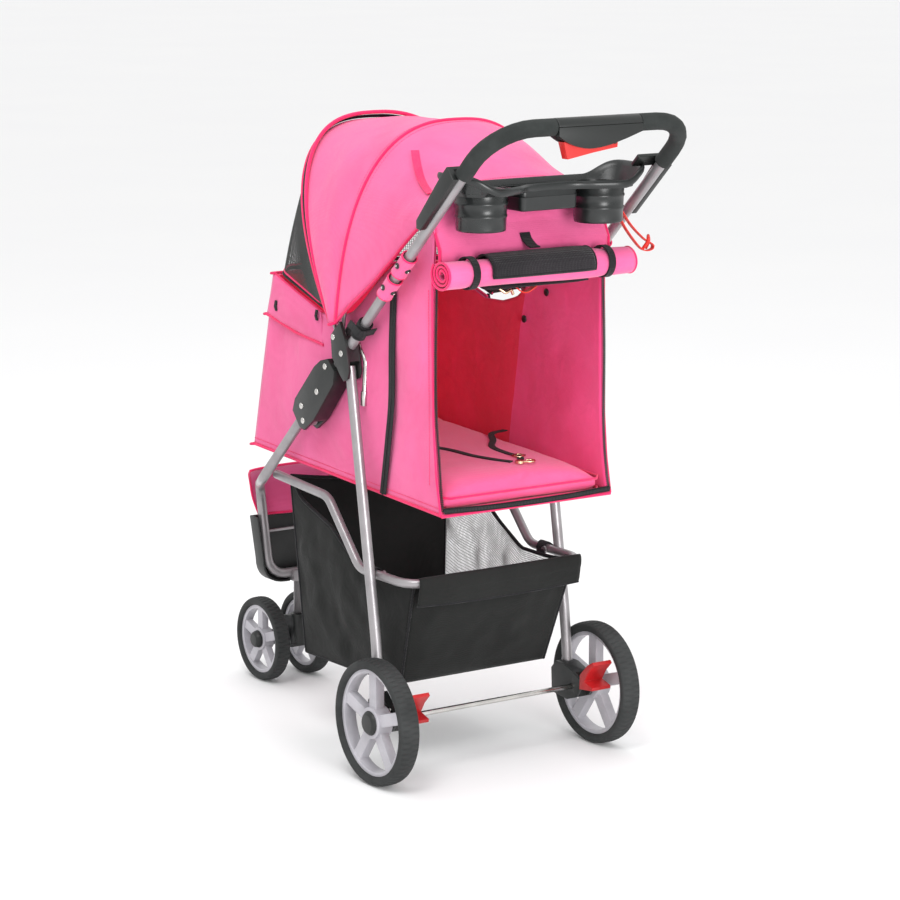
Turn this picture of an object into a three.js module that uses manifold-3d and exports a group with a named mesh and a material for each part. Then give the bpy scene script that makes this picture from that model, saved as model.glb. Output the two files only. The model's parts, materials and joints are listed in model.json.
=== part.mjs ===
// A folding pet stroller: a tubular frame that folds on four side pivots, a soft cabin with a
// folding canopy, a storage basket, two braked rear wheels and one swivelling twin-wheel caster.
// Millimetres. +X is the pusher's right hand, +Y the way it rolls, +Z up. The origin is on the
// floor, in the middle of the stroller's plan.
import * as THREE from 'three';
import { mergeVertices, mergeGeometries } from 'three/addons/utils/BufferGeometryUtils.js';
import { ParametricGeometry } from 'three/addons/geometries/ParametricGeometry.js';
import Module from 'manifold-3d';

const wasm = await Module();
wasm.setup();

// ---------------------------------------------------------------- driving dimensions
const REAR_AXLE_Y = -200.5;           // where the rear axle stands in the stroller's own frame
const GAP = 0.3;                     // clearance between pieces that touch

// Frame tubes. Side distances s and v run along and square to the main tube's slope.
const SLOPE = THREE.MathUtils.degToRad(43);
const SLOPE_START = { y: -97, z: 833 };
const FRAME_HALF = 173;              // middle of the main tubes and rear legs from the centre
const TUBE_R = 8;
const HANDLE_TOP_S = -220;
const HANDLE_BEND = 68;
const TUBE_END_S = 448;
const FRONT_TUBE_START_S = 457.6;
const FRONT_TUBE_KNEE_S = 640;
const TUBE_SIDES = 6;                // curve segments per half turn: twelve-sided tubes

// Pivots of the fold, seen from the side
const LEG_PIVOT = { y: 112, z: 600 };
const LOCK_S = 456;
const LOCK_V = -15;
const BASKET_FRONT_PIVOT = { y: 358, z: 403 };
const BASKET_REAR_PIVOT = { y: 64, z: 299 };
const CANOPY_PIVOT = { y: 140, z: 650 };

// Wheels
const REAR = { radius: 95, width: 33, x: 201, rim: 82, hub: 24, cap: 19, sides: 40 };
const FRONT = { radius: 70, width: 26, x: 41.5, rim: 59, hub: 19, cap: 15, sides: 32 };
const AXLE_R = 4;
const FRONT_AXLE = { y: 602, z: 70 };
const SWIVEL_Y = 556;

// Front frame and footrest
const FRONT_U_HALF = 54;
const FRONT_U_Y = 558;
const FRONT_U_BOTTOM = 188;

// Basket frame
const BASKET_HALF = 156.5;
const BASKET_TUBE_R = 7;
const BASKET_BACK_Y = -24;
const BASKET_TUBE_Z = 300;

// Cabin
const CABIN_HALF = 151.5;
const CLOTH = 3;                     // thickness of the walls
const FLOOR_REAR = { y: -98, z: 416 };
const FLOOR_FRONT = { y: 436, z: 439 };
const COLLAR = { y: 384, z: 652 };
const RIM_FRONT = { y: 365, z: 716 };
const RIM_SIDE = { y: 227, z: 674 };
const CANOPY_BACK = { y: -62, z: 886 };
const ROLL = { y: -118, z: 769, radius: 25, half: 165 };
const PAD_EDGE = 24;
const PAD_CROWN = 44;

// Canopy bows lean about the canopy pivot, measured from straight ahead
const BOW_R = 4;
const BOW_HALF = 169;
const MID_BOW = { lean: THREE.MathUtils.degToRad(99), height: 310 };
const FRONT_BOW = { lean: THREE.MathUtils.degToRad(58.5), height: 348 };
const BOW_SQUARENESS = 2.6;          // 2 is an ellipse, more is squarer

// Parent tray
const TRAY = { y: -128, half: 148, depth: 122, z: 890, rim: 18, wall: 3 };
const CUP = { x: 103, y: -126, top: 38, foot: 34, bottom: 829 };

// ---------------------------------------------------------------- materials
const surface = (color, roughness, metalness = 0) =>
  new THREE.MeshStandardMaterial({ color, roughness, metalness });
const silver = surface(0x9a969a, 0.35, 0.9);
const blackPlastic = surface(0x262928, 0.45);
const foam = surface(0x2f3433, 0.9);
const redPlastic = surface(0xc8191e, 0.4);
const pinkCloth = surface(0xef74ab, 0.85);
const redCloth = surface(0xc8122f, 0.9);
const blackCloth = surface(0x303130, 0.9);
const meshCloth = surface(0x6f7472, 0.95);
const webbing = surface(0x1b1b1d, 0.8);
const tyreRubber = surface(0x242626, 0.85);
const rimPlastic = surface(0xbcbac0, 0.4);
const chrome = surface(0xc9c9cc, 0.2, 1);

// ---------------------------------------------------------------- geometry helpers
const along = (s, v = 0) => ({
  y: SLOPE_START.y + s * Math.cos(SLOPE) + v * Math.sin(SLOPE),
  z: SLOPE_START.z - s * Math.sin(SLOPE) + v * Math.cos(SLOPE),
});
const at = (x, p) => new THREE.Vector3(x, p.y, p.z);
const LOCK_PIVOT = along(LOCK_S, LOCK_V);

// A route through given points, which keeps every point as a section of the sweep
class Route extends THREE.Curve {
  constructor(points) {
    super();
    this.points = points;
  }

  getPoint(t, target = new THREE.Vector3()) {
    const spans = this.points.length - 1;
    const i = Math.min(Math.floor(t * spans + 1e-9), spans - 1);
    return target.lerpVectors(this.points[i], this.points[i + 1], t * spans - i);
  }

  getPointAt(u, target) {
    return this.getPoint(u, target);
  }

  getTangentAt(u, target = new THREE.Vector3()) {
    const last = this.points.length - 1;
    const i = Math.round(u * last);
    const before = this.points[i].clone().sub(this.points[Math.max(i - 1, 0)]).normalize();
    const after = this.points[Math.min(i + 1, last)].clone().sub(this.points[i]).normalize();
    return target.copy(before).add(after).normalize();
  }
}

// Straight runs between corners, with a round bend of the given radius at each
function bent(corners, radius, steps = 5) {
  const points = [corners[0]];
  for (let i = 1; i < corners.length - 1; i++) {
    const come = corners[i].clone().sub(corners[i - 1]).normalize();
    const go = corners[i + 1].clone().sub(corners[i]).normalize();
    const turn = come.angleTo(go);
    const axis = come.clone().cross(go).normalize();
    const start = corners[i].clone().addScaledVector(come, -radius * Math.tan(turn / 2));
    const inward = go.clone().sub(come).normalize();
    const centre = corners[i].clone().addScaledVector(inward, radius / Math.cos(turn / 2));
    const arm = start.sub(centre);
    for (let k = 0; k <= steps; k++) {
      points.push(arm.clone().applyAxisAngle(axis, (turn * k) / steps).add(centre));
    }
  }
  points.push(corners[corners.length - 1]);
  return new Route(points);
}

function circle(radius) {
  const shape = new THREE.Shape();
  shape.absarc(0, 0, radius, 0, Math.PI * 2);
  return shape;
}

const sweep = (shape, route, curveSegments = TUBE_SIDES) =>
  new THREE.ExtrudeGeometry(shape, {
    steps: route.points.length - 1,
    curveSegments,
    bevelEnabled: false,
    extrudePath: route,
  });

const pipe = (route, radius, sides) => sweep(circle(radius), route, sides);

// An outline in the side view (y, z), given thickness from x0 to x1
function sidePlate(shape, x0, x1, curveSegments = 6) {
  const plate = new THREE.ExtrudeGeometry(shape, { depth: x1 - x0, bevelEnabled: false, curveSegments });
  const toSide = new THREE.Matrix4().makeBasis(
    new THREE.Vector3(0, 1, 0),
    new THREE.Vector3(0, 0, 1),
    new THREE.Vector3(1, 0, 0),
  );
  return plate.applyMatrix4(toSide).translate(x0, 0, 0);
}

// An outline in the front view (x, z), given thickness from y0 to y1
const frontPlate = (shape, y0, y1, curveSegments = 8) =>
  new THREE.ExtrudeGeometry(shape, { depth: y1 - y0, bevelEnabled: false, curveSegments })
    .rotateX(Math.PI / 2)
    .translate(0, y1, 0);

const outline = (points) => new THREE.Shape(points.map((p) => new THREE.Vector2(p.y, p.z)));
const plan = (points) => new THREE.Shape(points.map(([a, b]) => new THREE.Vector2(a, b)));

function roundedBox(width, height, radius) {
  const [w, h] = [width / 2, height / 2];
  const shape = new THREE.Shape();
  shape.absarc(w - radius, h - radius, radius, 0, Math.PI / 2);
  shape.absarc(radius - w, h - radius, radius, Math.PI / 2, Math.PI);
  shape.absarc(radius - w, radius - h, radius, Math.PI, Math.PI * 1.5);
  shape.absarc(w - radius, radius - h, radius, Math.PI * 1.5, Math.PI * 2);
  return shape;
}

const box = (x0, x1, y0, y1, z0, z1) =>
  new THREE.BoxGeometry(x1 - x0, y1 - y0, z1 - z0).translate((x0 + x1) / 2, (y0 + y1) / 2, (z0 + z1) / 2);

const rodX = (x0, x1, p, radius, sides = 16) =>
  new THREE.CylinderGeometry(radius, radius, x1 - x0, sides)
    .rotateZ(Math.PI / 2)
    .translate((x0 + x1) / 2, p.y, p.z);

const rodZ = (p, z0, z1, low, high = low, sides = 16) =>
  new THREE.CylinderGeometry(high, low, z1 - z0, sides).rotateX(Math.PI / 2).translate(p.x, p.y, (z0 + z1) / 2);

// A profile of (x, radius) points turned about the X axis
const turned = (profile, sides) =>
  new THREE.LatheGeometry(profile.map(([x, r]) => new THREE.Vector2(r, x)), sides).rotateZ(-Math.PI / 2);

function solid(geometry) {
  const plain = geometry.clone();
  plain.deleteAttribute('normal');
  plain.deleteAttribute('uv');
  const merged = mergeVertices(plain, 1e-3);
  return new wasm.Manifold(new wasm.Mesh({
    numProp: 3,
    vertProperties: new Float32Array(merged.attributes.position.array),
    triVerts: new Uint32Array(merged.index.array),
  }));
}

function shaped(manifold) {
  const mesh = manifold.getMesh();
  const geometry = new THREE.BufferGeometry();
  geometry.setAttribute('position', new THREE.BufferAttribute(mesh.vertProperties, 3));
  geometry.setIndex(new THREE.BufferAttribute(mesh.triVerts, 1));
  geometry.computeVertexNormals();
  return geometry;
}

const join = (...pieces) => shaped(pieces.map(solid).reduce((a, b) => a.add(b)));
const cut = (piece, ...tools) => shaped(tools.map(solid).reduce((a, b) => a.subtract(b), solid(piece)));

// The same shape on the other side of the stroller, with its faces turned back outwards
function mirrored(geometry) {
  const other = geometry.clone().scale(-1, 1, 1);
  const flat = other.index ? other.toNonIndexed() : other;
  const place = flat.attributes.position;
  for (let i = 0; i < place.count; i += 3) {
    const [a, b] = [i, i + 1].map((k) => new THREE.Vector3().fromBufferAttribute(place, k));
    place.setXYZ(i, b.x, b.y, b.z);
    place.setXYZ(i + 1, a.x, a.y, a.z);
  }
  flat.deleteAttribute('normal');
  flat.deleteAttribute('uv');
  return mergeVertices(flat, 1e-3);
}

// A sheet of cloth as a thin closed solid: surfaceAt(u, v) gives its middle, and it thins out
// to an edge along all four borders
function cloth(surfaceAt, across, lengthways, thickness = CLOTH) {
  const step = 1e-3;
  const offset = (u, v, side, target) => {
    const border = u < step || u > 1 - step || v < step || v > 1 - step;
    const du = surfaceAt(Math.min(u + step, 1), v).sub(surfaceAt(Math.max(u - step, 0), v));
    const dv = surfaceAt(u, Math.min(v + step, 1)).sub(surfaceAt(u, Math.max(v - step, 0)));
    const normal = du.cross(dv).normalize();
    target.copy(surfaceAt(u, v)).addScaledVector(normal, border ? 0 : (side * thickness) / 2);
  };
  const around = (a, v, target) => {
    const u = a < 0.5 ? 2 * a : 2 - 2 * a;
    offset(u, v, a < 0.5 ? 1 : -1, target);
  };
  return new ParametricGeometry(around, across * 2, lengthways);
}

// ---------------------------------------------------------------- assembly
const stroller = new THREE.Group();
const model = new THREE.Group();
model.position.y = REAR_AXLE_Y;
stroller.add(model);

function add(name, geometry, material, parent = model) {
  const mesh = new THREE.Mesh(geometry, material);
  mesh.name = name;
  parent.add(mesh);
  return mesh;
}

// A piece and its mirror image, the left one drawn on the -X side
function addPair(name, left, material) {
  add(`${name}_left`, left, material);
  add(`${name}_right`, mirrored(left), material);
}

// ---------------------------------------------------------------- handle and grip
const handleCorner = (x) => at(x, along(HANDLE_TOP_S));
const handleRoute = bent(
  [at(-FRAME_HALF, along(TUBE_END_S)), handleCorner(-FRAME_HALF),
    handleCorner(FRAME_HALF), at(FRAME_HALF, along(TUBE_END_S))],
  HANDLE_BEND,
  7,
);

const FOAM_R = 12.5;
const FOAM_START_S = -122;
const HOUSING_HALF = 72;

function foamGrip() {
  const route = bent(
    [at(-FRAME_HALF, along(FOAM_START_S)), handleCorner(-FRAME_HALF), handleCorner(-HOUSING_HALF - 1)],
    HANDLE_BEND,
    7,
  );
  return cut(pipe(route, FOAM_R), pipe(handleRoute, TUBE_R + GAP));
}

const gripCentre = along(HANDLE_TOP_S);
const TRIGGER_PIN = { x: 27, z: gripCentre.z - 25 };
const HOUSING_DEPTH = 13;

function gripHousingUpper() {
  const shape = new THREE.Shape();
  shape.moveTo(HOUSING_DEPTH, GAP / 2);
  shape.absellipse(0, GAP / 2, HOUSING_DEPTH, 12.5, 0, Math.PI);
  shape.closePath();
  const shell = sidePlate(shape, -HOUSING_HALF, HOUSING_HALF, 8).translate(0, gripCentre.y, gripCentre.z);
  return cut(shell, pipe(handleRoute, TUBE_R + GAP));
}

function gripHousingLower() {
  const shape = plan([[-HOUSING_HALF, -GAP / 2], [-HOUSING_HALF, -12]]);
  shape.splineThru([[-54, -23], [-24, -31], [8, -29], [44, -20]].map((p) => new THREE.Vector2(...p)));
  shape.lineTo(HOUSING_HALF, -11);
  shape.lineTo(HOUSING_HALF, -GAP / 2);
  shape.closePath();
  const shell = frontPlate(shape, -HOUSING_DEPTH, HOUSING_DEPTH, 3).translate(0, gripCentre.y, gripCentre.z);
  const slot = box(-62, 34, gripCentre.y - 7.6, gripCentre.y + 7.6, gripCentre.z - 60, gripCentre.z - 10);
  const pin = new THREE.CylinderGeometry(2, 2, 20, 12).translate(TRIGGER_PIN.x, gripCentre.y, TRIGGER_PIN.z);
  const open = cut(shell, pipe(handleRoute, TUBE_R + GAP), slot);
  return join(open, pin);
}

function foldTrigger() {
  const z = gripCentre.z;
  const shape = plan([[-60, z - 21], [-53, z - 45], [-12, z - 38], [32, z - 32], [33, z - 19], [-20, z - 19]]);
  const lever = frontPlate(shape, gripCentre.y - 7, gripCentre.y + 7);
  const bore = new THREE.CylinderGeometry(2.5, 2.5, 20, 12)
    .translate(TRIGGER_PIN.x, gripCentre.y, TRIGGER_PIN.z);
  return cut(lever, bore);
}

add('handle_tube', pipe(handleRoute, TUBE_R), silver);
addPair('foam_grip', foamGrip(), foam);
add('grip_housing_upper', gripHousingUpper(), blackPlastic);
add('grip_housing_lower', gripHousingLower(), blackPlastic);
add('fold_trigger', foldTrigger(), redPlastic);

// ---------------------------------------------------------------- parent tray
function cupWell(x) {
  const { top, foot, bottom } = CUP;
  const wall = TRAY.wall;
  const place = { x, y: CUP.y };
  return {
    outside: rodZ(place, bottom, TRAY.z, foot, top, 20),
    inside: rodZ(place, bottom + wall, TRAY.z + wall + 1, foot - wall, top - wall, 20),
  };
}

function parentTray() {
  const { y, half, depth, z, rim, wall } = TRAY;
  const body = new THREE.ExtrudeGeometry(roundedBox(2 * half, depth, 30), {
    depth: rim, bevelEnabled: false, curveSegments: 4,
  }).translate(0, y, z);
  const hollow = new THREE.ExtrudeGeometry(roundedBox(2 * (half - wall), depth - 2 * wall, 27), {
    depth: rim, bevelEnabled: false, curveSegments: 4,
  }).translate(0, y, z + wall);
  const cups = [cupWell(-CUP.x), cupWell(CUP.x)];
  const wellOutside = box(-50, 50, -172, -84, 854, z + 1);
  const wellInside = box(-47, 47, -169, -87, 857, z + wall + 1);
  const outside = join(body, cups[0].outside, cups[1].outside, wellOutside);
  return cut(outside, hollow, cups[0].inside, cups[1].inside, wellInside);
}

const ARM = { outer: 191, inner: 181.4 };

// A clip arm lies along the outside of the tube and reaches over it to the tray
function trayArm() {
  const shape = outline([along(-118, -4), along(-4, -4), along(2, 4),
    along(-6, 13), along(-96, 20), along(-118, 20)]);
  const arm = sidePlate(shape, -ARM.outer, -ARM.inner);
  const hook = sidePlate(outline([along(-118, 14), along(-96, 14), along(-96, 20), along(-118, 20)]),
    -ARM.inner - 1, -TRAY.half + 8);
  return join(arm, hook);
}

add('parent_tray', parentTray(), blackPlastic);

// ---------------------------------------------------------------- side brackets and locks
const BRACKET = { outer: 185.5, slot: 8.5, inner: 162.3 };
const BOW_SLOT = 7.4;

function sideBracket() {
  const shape = new THREE.Shape();
  const edge = [along(268, 34), along(302, 34), along(322, 8), along(322, -24), { y: 112, z: 587 },
    { y: 101, z: 592 }, { y: 97, z: 604 }, along(276, 2)];
  shape.setFromPoints(edge.map((p) => new THREE.Vector2(p.y, p.z)));
  const block = sidePlate(shape, -BRACKET.outer, -BRACKET.inner);
  const legSlot = box(-FRAME_HALF - BRACKET.slot, -FRAME_HALF + BRACKET.slot, 60, 160, 560, 617.5);
  const bowSlot = sidePlate(outline([along(250, 12), along(340, 12), along(340, 60), along(250, 60)]),
    -FRAME_HALF - BOW_SLOT, -FRAME_HALF + BOW_SLOT);
  const tubeBore = pipe(new Route([at(-FRAME_HALF, along(200)), at(-FRAME_HALF, along(400))]), TUBE_R + GAP);
  const open = cut(block, legSlot, bowSlot, tubeBore);
  const legPin = rodX(-BRACKET.outer, -BRACKET.inner, LEG_PIVOT, 3.5, 12);
  const bowPin = rodX(-FRAME_HALF - 10, -FRAME_HALF + 10, CANOPY_PIVOT, 2.5, 12);
  return join(open, legPin, bowPin);
}

// A bent rod with a plastic tip beside the bracket, which locks the canopy
function canopyLever() {
  const x = -157.8;
  const rod = pipe(bent([at(x, { y: 112, z: 642 }),
    at(x, { y: 93, z: 618 }), at(x, { y: 98, z: 567 })], 22, 4), 3.8, 5);
  const tip = pipe(new Route([at(x, { y: 97.6, z: 572 }), at(x, { y: 100, z: 550 })]), 5.2, 5);
  return join(rod, tip);
}

const LOCK = { outer: 187, inner: 159, slot: 8.7, pin: 4 };

function lockHousing() {
  const shape = outline([along(330, -12), along(346, -25), along(430, -32), along(464, -27), along(471, -15),
    along(470, 14), along(452, 23), along(372, 26), along(350, 22), along(332, 12)]);
  const block = sidePlate(shape, -LOCK.outer, -LOCK.inner);
  const tubeBore = pipe(new Route([at(-FRAME_HALF, along(300)), at(-FRAME_HALF, along(500))]), TUBE_R + GAP);
  const jaw = sidePlate(outline([along(445.2, -50), along(445.2, -4), along(455, -4), along(455, 60),
    along(520, 60), along(520, -50)]), -FRAME_HALF - LOCK.slot, -FRAME_HALF + LOCK.slot);
  const belly = sidePlate(outline([along(446, -60), along(410, -60), along(432, -34), along(446, -25)]),
    -FRAME_HALF - LOCK.slot, -FRAME_HALF + LOCK.slot);
  const pocket = sidePlate(outline([along(396, -21), along(450, -21), along(450, -10), along(396, -10)]),
    -FRAME_HALF - 6, -FRAME_HALF + 6);
  const pin = rodX(-LOCK.outer, -LOCK.inner, LOCK_PIVOT, LOCK.pin, 12);
  return join(cut(block, tubeBore, jaw, belly, pocket), pin);
}

const lockSlider = () =>
  sidePlate(outline([along(410, -20), along(443, -20), along(443, -11), along(410, -11)]),
    -FRAME_HALF - 5.4, -FRAME_HALF + 5.4);

addPair('tray_arm', trayArm(), blackPlastic);
addPair('side_bracket', sideBracket(), blackPlastic);
addPair('canopy_lever', canopyLever(), chrome);
addPair('lock_housing', lockHousing(), blackPlastic);
addPair('lock_slider', lockSlider(), chrome);

// ---------------------------------------------------------------- front frame, footrest, caster
const frontCorners = (side) => [
  at(side * FRAME_HALF, along(FRONT_TUBE_START_S)),
  at(side * FRAME_HALF, along(FRONT_TUBE_KNEE_S)),
  new THREE.Vector3(side * 66, 566, 341),
  new THREE.Vector3(side * FRONT_U_HALF, FRONT_U_Y, FRONT_U_BOTTOM),
];
const frontRoute = bent([...frontCorners(-1), ...frontCorners(1).reverse()], 32, 4);

function frontFrameTube() {
  const knuckle = (side) =>
    rodX(side * FRAME_HALF - 7, side * FRAME_HALF + 7, LOCK_PIVOT, 9, 16);
  const bore = (side) =>
    rodX(side * FRAME_HALF - 9, side * FRAME_HALF + 9, LOCK_PIVOT, LOCK.pin + 0.6, 16);
  const tie = rodX(-FRONT_U_HALF, FRONT_U_HALF, { y: 561, z: 262 }, 2.5, 8);
  return cut(join(pipe(frontRoute, TUBE_R), knuckle(-1), knuckle(1), tie), bore(-1), bore(1));
}

const STEM = { top: 184, bottom: 88 };

function casterStem() {
  const stem = rodZ({ x: 0, y: SWIVEL_Y }, STEM.bottom, STEM.top, TUBE_R);
  const saddle = box(-15, 15, FRONT_U_Y - 13, FRONT_U_Y + 13, FRONT_U_BOTTOM - 13, FRONT_U_BOTTOM + 5);
  return cut(join(stem, saddle), pipe(frontRoute, TUBE_R + GAP));
}

function footrest() {
  const half = FRONT_U_HALF + 14;
  const dish = (inset) => {
    const shape = new THREE.Shape();
    shape.moveTo(-half - 10 + inset, 288);
    shape.lineTo(-half + inset, 216);
    shape.quadraticCurveTo(-half + inset, 174 + inset, -24, 174 + inset);
    shape.lineTo(24, 174 + inset);
    shape.quadraticCurveTo(half - inset, 174 + inset, half - inset, 216);
    shape.lineTo(half + 10 - inset, 288);
    shape.closePath();
    return shape;
  };
  const shell = frontPlate(dish(0), FRONT_U_Y - 4, FRONT_U_Y + 22);
  const hollow = frontPlate(dish(3.2), FRONT_U_Y - 10, FRONT_U_Y + 18).translate(0, 0, 0.01);
  const saddle = box(-16, 16, FRONT_U_Y - 16, FRONT_U_Y + 14, 150, 200);
  return cut(shell, hollow, saddle);
}

// Cloth sleeve over the front of the two front tubes, above the footrest
function calfPanel() {
  const edge = new THREE.CatmullRomCurve3([
    new THREE.Vector3(60, 574, 292),
    new THREE.Vector3(70, 582, 335),
    new THREE.Vector3(84, 564, 364),
    new THREE.Vector3(93, 542, 373),
  ]);
  return cloth((u, v) => edge.getPoint(v).multiply(new THREE.Vector3(2 * u - 1, 1, 1)), 6, 6);
}

const SOCKET = { top: 117, r: 14.5 };

function casterHousing() {
  const socket = rodZ({ x: 0, y: SWIVEL_Y }, 66, SOCKET.top, SOCKET.r, SOCKET.r - 1, 20);
  const arm = sidePlate(outline([{ y: 556, z: 60 }, { y: 598, z: 54 }, { y: 612, z: 58 }, { y: 617, z: 70 },
    { y: 612, z: 83 }, { y: 584, z: 110 }, { y: 558, z: 114 }, { y: 544, z: 74 }]), -13, 13);
  const hub = rodX(-25.5, 25.5, FRONT_AXLE, 13, 20);
  const stemBore = rodZ({ x: 0, y: SWIVEL_Y }, STEM.bottom - 1, 130, TUBE_R + 0.5, TUBE_R + 0.5, 24);
  const axleBore = rodX(-40, 40, FRONT_AXLE, AXLE_R + 0.4);
  return cut(join(socket, arm, hub), stemBore, axleBore);
}

add('front_frame_tube', frontFrameTube(), silver);
add('caster_stem', casterStem(), silver);
add('footrest', footrest(), blackPlastic);
add('front_calf_panel', calfPanel(), pinkCloth);
add('caster_housing', casterHousing(), blackPlastic);
add('front_axle', rodX(-57, 57, FRONT_AXLE, AXLE_R), chrome);

// ---------------------------------------------------------------- wheels
// Every wheel is drawn about its own axle, with its outer side towards +X, and a flat of the
// tyre straight below the axle
function tyreOf({ radius, width, rim, sides }) {
  const half = width / 2;
  const tread = radius / Math.cos(Math.PI / sides);
  const profile = [[-half * 0.66, rim], [-half * 0.97, rim + 4.5],
    [-half, radius - 8], [-half * 0.76, radius - 2.4],
    [-half * 0.42, tread], [half * 0.42, tread], [half * 0.76, radius - 2.4], [half, radius - 8],
    [half * 0.97, rim + 4.5], [half * 0.66, rim], [-half * 0.66, rim]];
  return turned(profile, sides).rotateX(Math.PI / sides);
}

function rimOf({ width, rim, hub, sides }) {
  const half = width / 2;
  const bore = AXLE_R + 0.6;
  const ring = turned([[-half * 0.62, rim - 8], [-half * 0.62, rim - GAP], [half * 0.62, rim - GAP],
    [half * 0.62, rim - 8], [-half * 0.62, rim - 8]], sides).rotateX(Math.PI / sides);
  const boss = turned([[-half * 0.8, bore], [-half * 0.8, hub], [half * 0.72, hub],
    [half * 0.72, bore], [-half * 0.8, bore]], 20);
  const spokes = [];
  for (let i = 0; i < 5; i++) {
    const reach = rim - 6 - bore - 6;
    const spoke = new THREE.BoxGeometry(half * 0.9, hub * 0.8, reach)
      .translate(0, 0, bore + 6 + reach / 2)
      .rotateX((i * Math.PI * 2) / 5);
    spokes.push(spoke);
  }
  return join(ring, boss, ...spokes);
}

// The cap hides the axle's end: a shallow cup with a flange against the rim
function capOf({ width, cap }, axleReach) {
  const face = (width / 2) * 0.72 + GAP;
  const deep = axleReach + 1.2;
  return turned([[face, AXLE_R + 1.5], [face, cap], [deep, cap - 2], [deep + 3, cap - 5],
    [deep + 3, 0], [deep, 0], [deep, AXLE_R + 1.5], [face, AXLE_R + 1.5]], 20);
}

function addWheel(name, side, spec, centre, axleReach) {
  const wheel = new THREE.Group();
  wheel.position.set(side * spec.x, centre.y, centre.z);
  if (side < 0) wheel.rotation.z = Math.PI;
  model.add(wheel);
  add(`${name}_tyre`, tyreOf(spec), tyreRubber, wheel);
  add(`${name}_rim`, rimOf(spec), rimPlastic, wheel);
  add(`${name}_cap`, capOf(spec, axleReach), blackPlastic, wheel);
}

const REAR_AXLE = { y: 0, z: REAR.radius };
const REAR_AXLE_HALF = 215;
const FRONT_AXLE_HALF = 57;
for (const [hand, side] of [['left', -1], ['right', 1]]) {
  addWheel(`rear_${hand}`, side, REAR, REAR_AXLE, REAR_AXLE_HALF - REAR.x);
  addWheel(`front_${hand}`, side, FRONT, FRONT_AXLE, FRONT_AXLE_HALF - FRONT.x);
}

// ---------------------------------------------------------------- rear legs, axle and brakes
const LEG_BOTTOM = { y: 33, z: 92 };
const PEDAL_PIVOT = { y: -14, z: 104 };
const legRoute = new Route([
  at(-FRAME_HALF, { y: 113, z: 609 }),
  at(-FRAME_HALF, { y: 97, z: 515 }),
  at(-FRAME_HALF, { y: 79, z: 410 }),
  at(-FRAME_HALF, { y: 62, z: 303 }),
  at(-FRAME_HALF, { y: 46, z: 210 }),
  at(-FRAME_HALF, LEG_BOTTOM),
]);

function rearLeg() {
  const pivotPin = rodX(-FRAME_HALF, -BASKET_HALF + 11, BASKET_REAR_PIVOT, 3, 12);
  const pivotHead = rodX(-BASKET_HALF + 8.2, -BASKET_HALF + 11, BASKET_REAR_PIVOT, 6, 12);
  const topBore = rodX(-FRAME_HALF - 12, -FRAME_HALF + 12, LEG_PIVOT, 4, 16);
  return cut(join(pipe(legRoute, TUBE_R), pivotPin, pivotHead), topBore);
}

const BRAKE = { outer: 183.2, inner: 153 };

function brakeHousing() {
  const shape = outline([{ y: 50, z: 76 }, { y: 52, z: 114 },
    { y: 40, z: 127 }, { y: 22, z: 127 }, { y: -6, z: 117 },
    { y: -23, z: 110 }, { y: -24, z: 97 }, { y: -12, z: 80 }, { y: 10, z: 72 }]);
  const block = sidePlate(shape, -BRAKE.outer, -BRAKE.inner);
  const legSocket = pipe(new Route([at(-FRAME_HALF, LEG_BOTTOM).add(new THREE.Vector3(0, -0.05, -0.4)),
    at(-FRAME_HALF, { y: 46, z: 210 })]), TUBE_R + 0.4);
  const pedalSlot = box(-BRAKE.outer + 5, -BRAKE.inner - 5, -40, -4.5, 60, 140);
  const axleBore = rodX(-200, -140, REAR_AXLE, AXLE_R + GAP);
  const pin = rodX(-BRAKE.outer, -BRAKE.inner, PEDAL_PIVOT, 3, 12);
  return join(cut(block, legSocket, pedalSlot, axleBore), pin);
}

function brakePedal() {
  const [x0, x1] = [-BRAKE.outer + 5.6, -BRAKE.inner - 5.6];
  const hub = rodX(x0, x1, PEDAL_PIVOT, 8.4, 16);
  const neck = sidePlate(outline([{ y: -14, z: 96 }, { y: -34, z: 96 },
    { y: -34, z: 122 }, { y: -14, z: 112 }]), x0, x1);
  const paddle = sidePlate(outline([{ y: -27, z: 97 }, { y: -60, z: 101 },
    { y: -61, z: 106 }, { y: -40, z: 112 },
    { y: -50, z: 128 }, { y: -64, z: 142 }, { y: -60, z: 146 }, { y: -46, z: 138 }, { y: -28, z: 120 }]),
    -BRAKE.outer - 0.5, -BRAKE.inner + 4);
  return cut(join(hub, neck, paddle), rodX(-200, -140, PEDAL_PIVOT, 3.5, 16));
}

addPair('rear_leg', rearLeg(), silver);
add('rear_axle', rodX(-REAR_AXLE_HALF, REAR_AXLE_HALF, REAR_AXLE, AXLE_R), chrome);
addPair('brake_housing', brakeHousing(), blackPlastic);
addPair('brake_pedal', brakePedal(), redPlastic);

// ---------------------------------------------------------------- basket
const basketCorners = (side) => [
  at(side * BASKET_HALF, BASKET_FRONT_PIVOT),
  at(side * BASKET_HALF, { y: 205, z: 394 }),
  at(side * BASKET_HALF, { y: 115, z: 299 }),
  at(side * BASKET_HALF, { y: BASKET_BACK_Y, z: BASKET_TUBE_Z }),
];

function basketTube() {
  const tube = pipe(bent([...basketCorners(-1), ...basketCorners(1).reverse()], 34, 4), BASKET_TUBE_R);
  const bore = (x) => rodX(x - 10, x + 10, BASKET_REAR_PIVOT, 3.5, 16);
  return cut(tube, bore(-BASKET_HALF), bore(BASKET_HALF));
}

// An open bag: the rim follows the frame at the back and rises towards the front
const BASKET = { rear: -13, front: 336,
  bottomRear: 42, bottomFront: 318, floor: 127, half: 142, footHalf: 128 };

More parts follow.
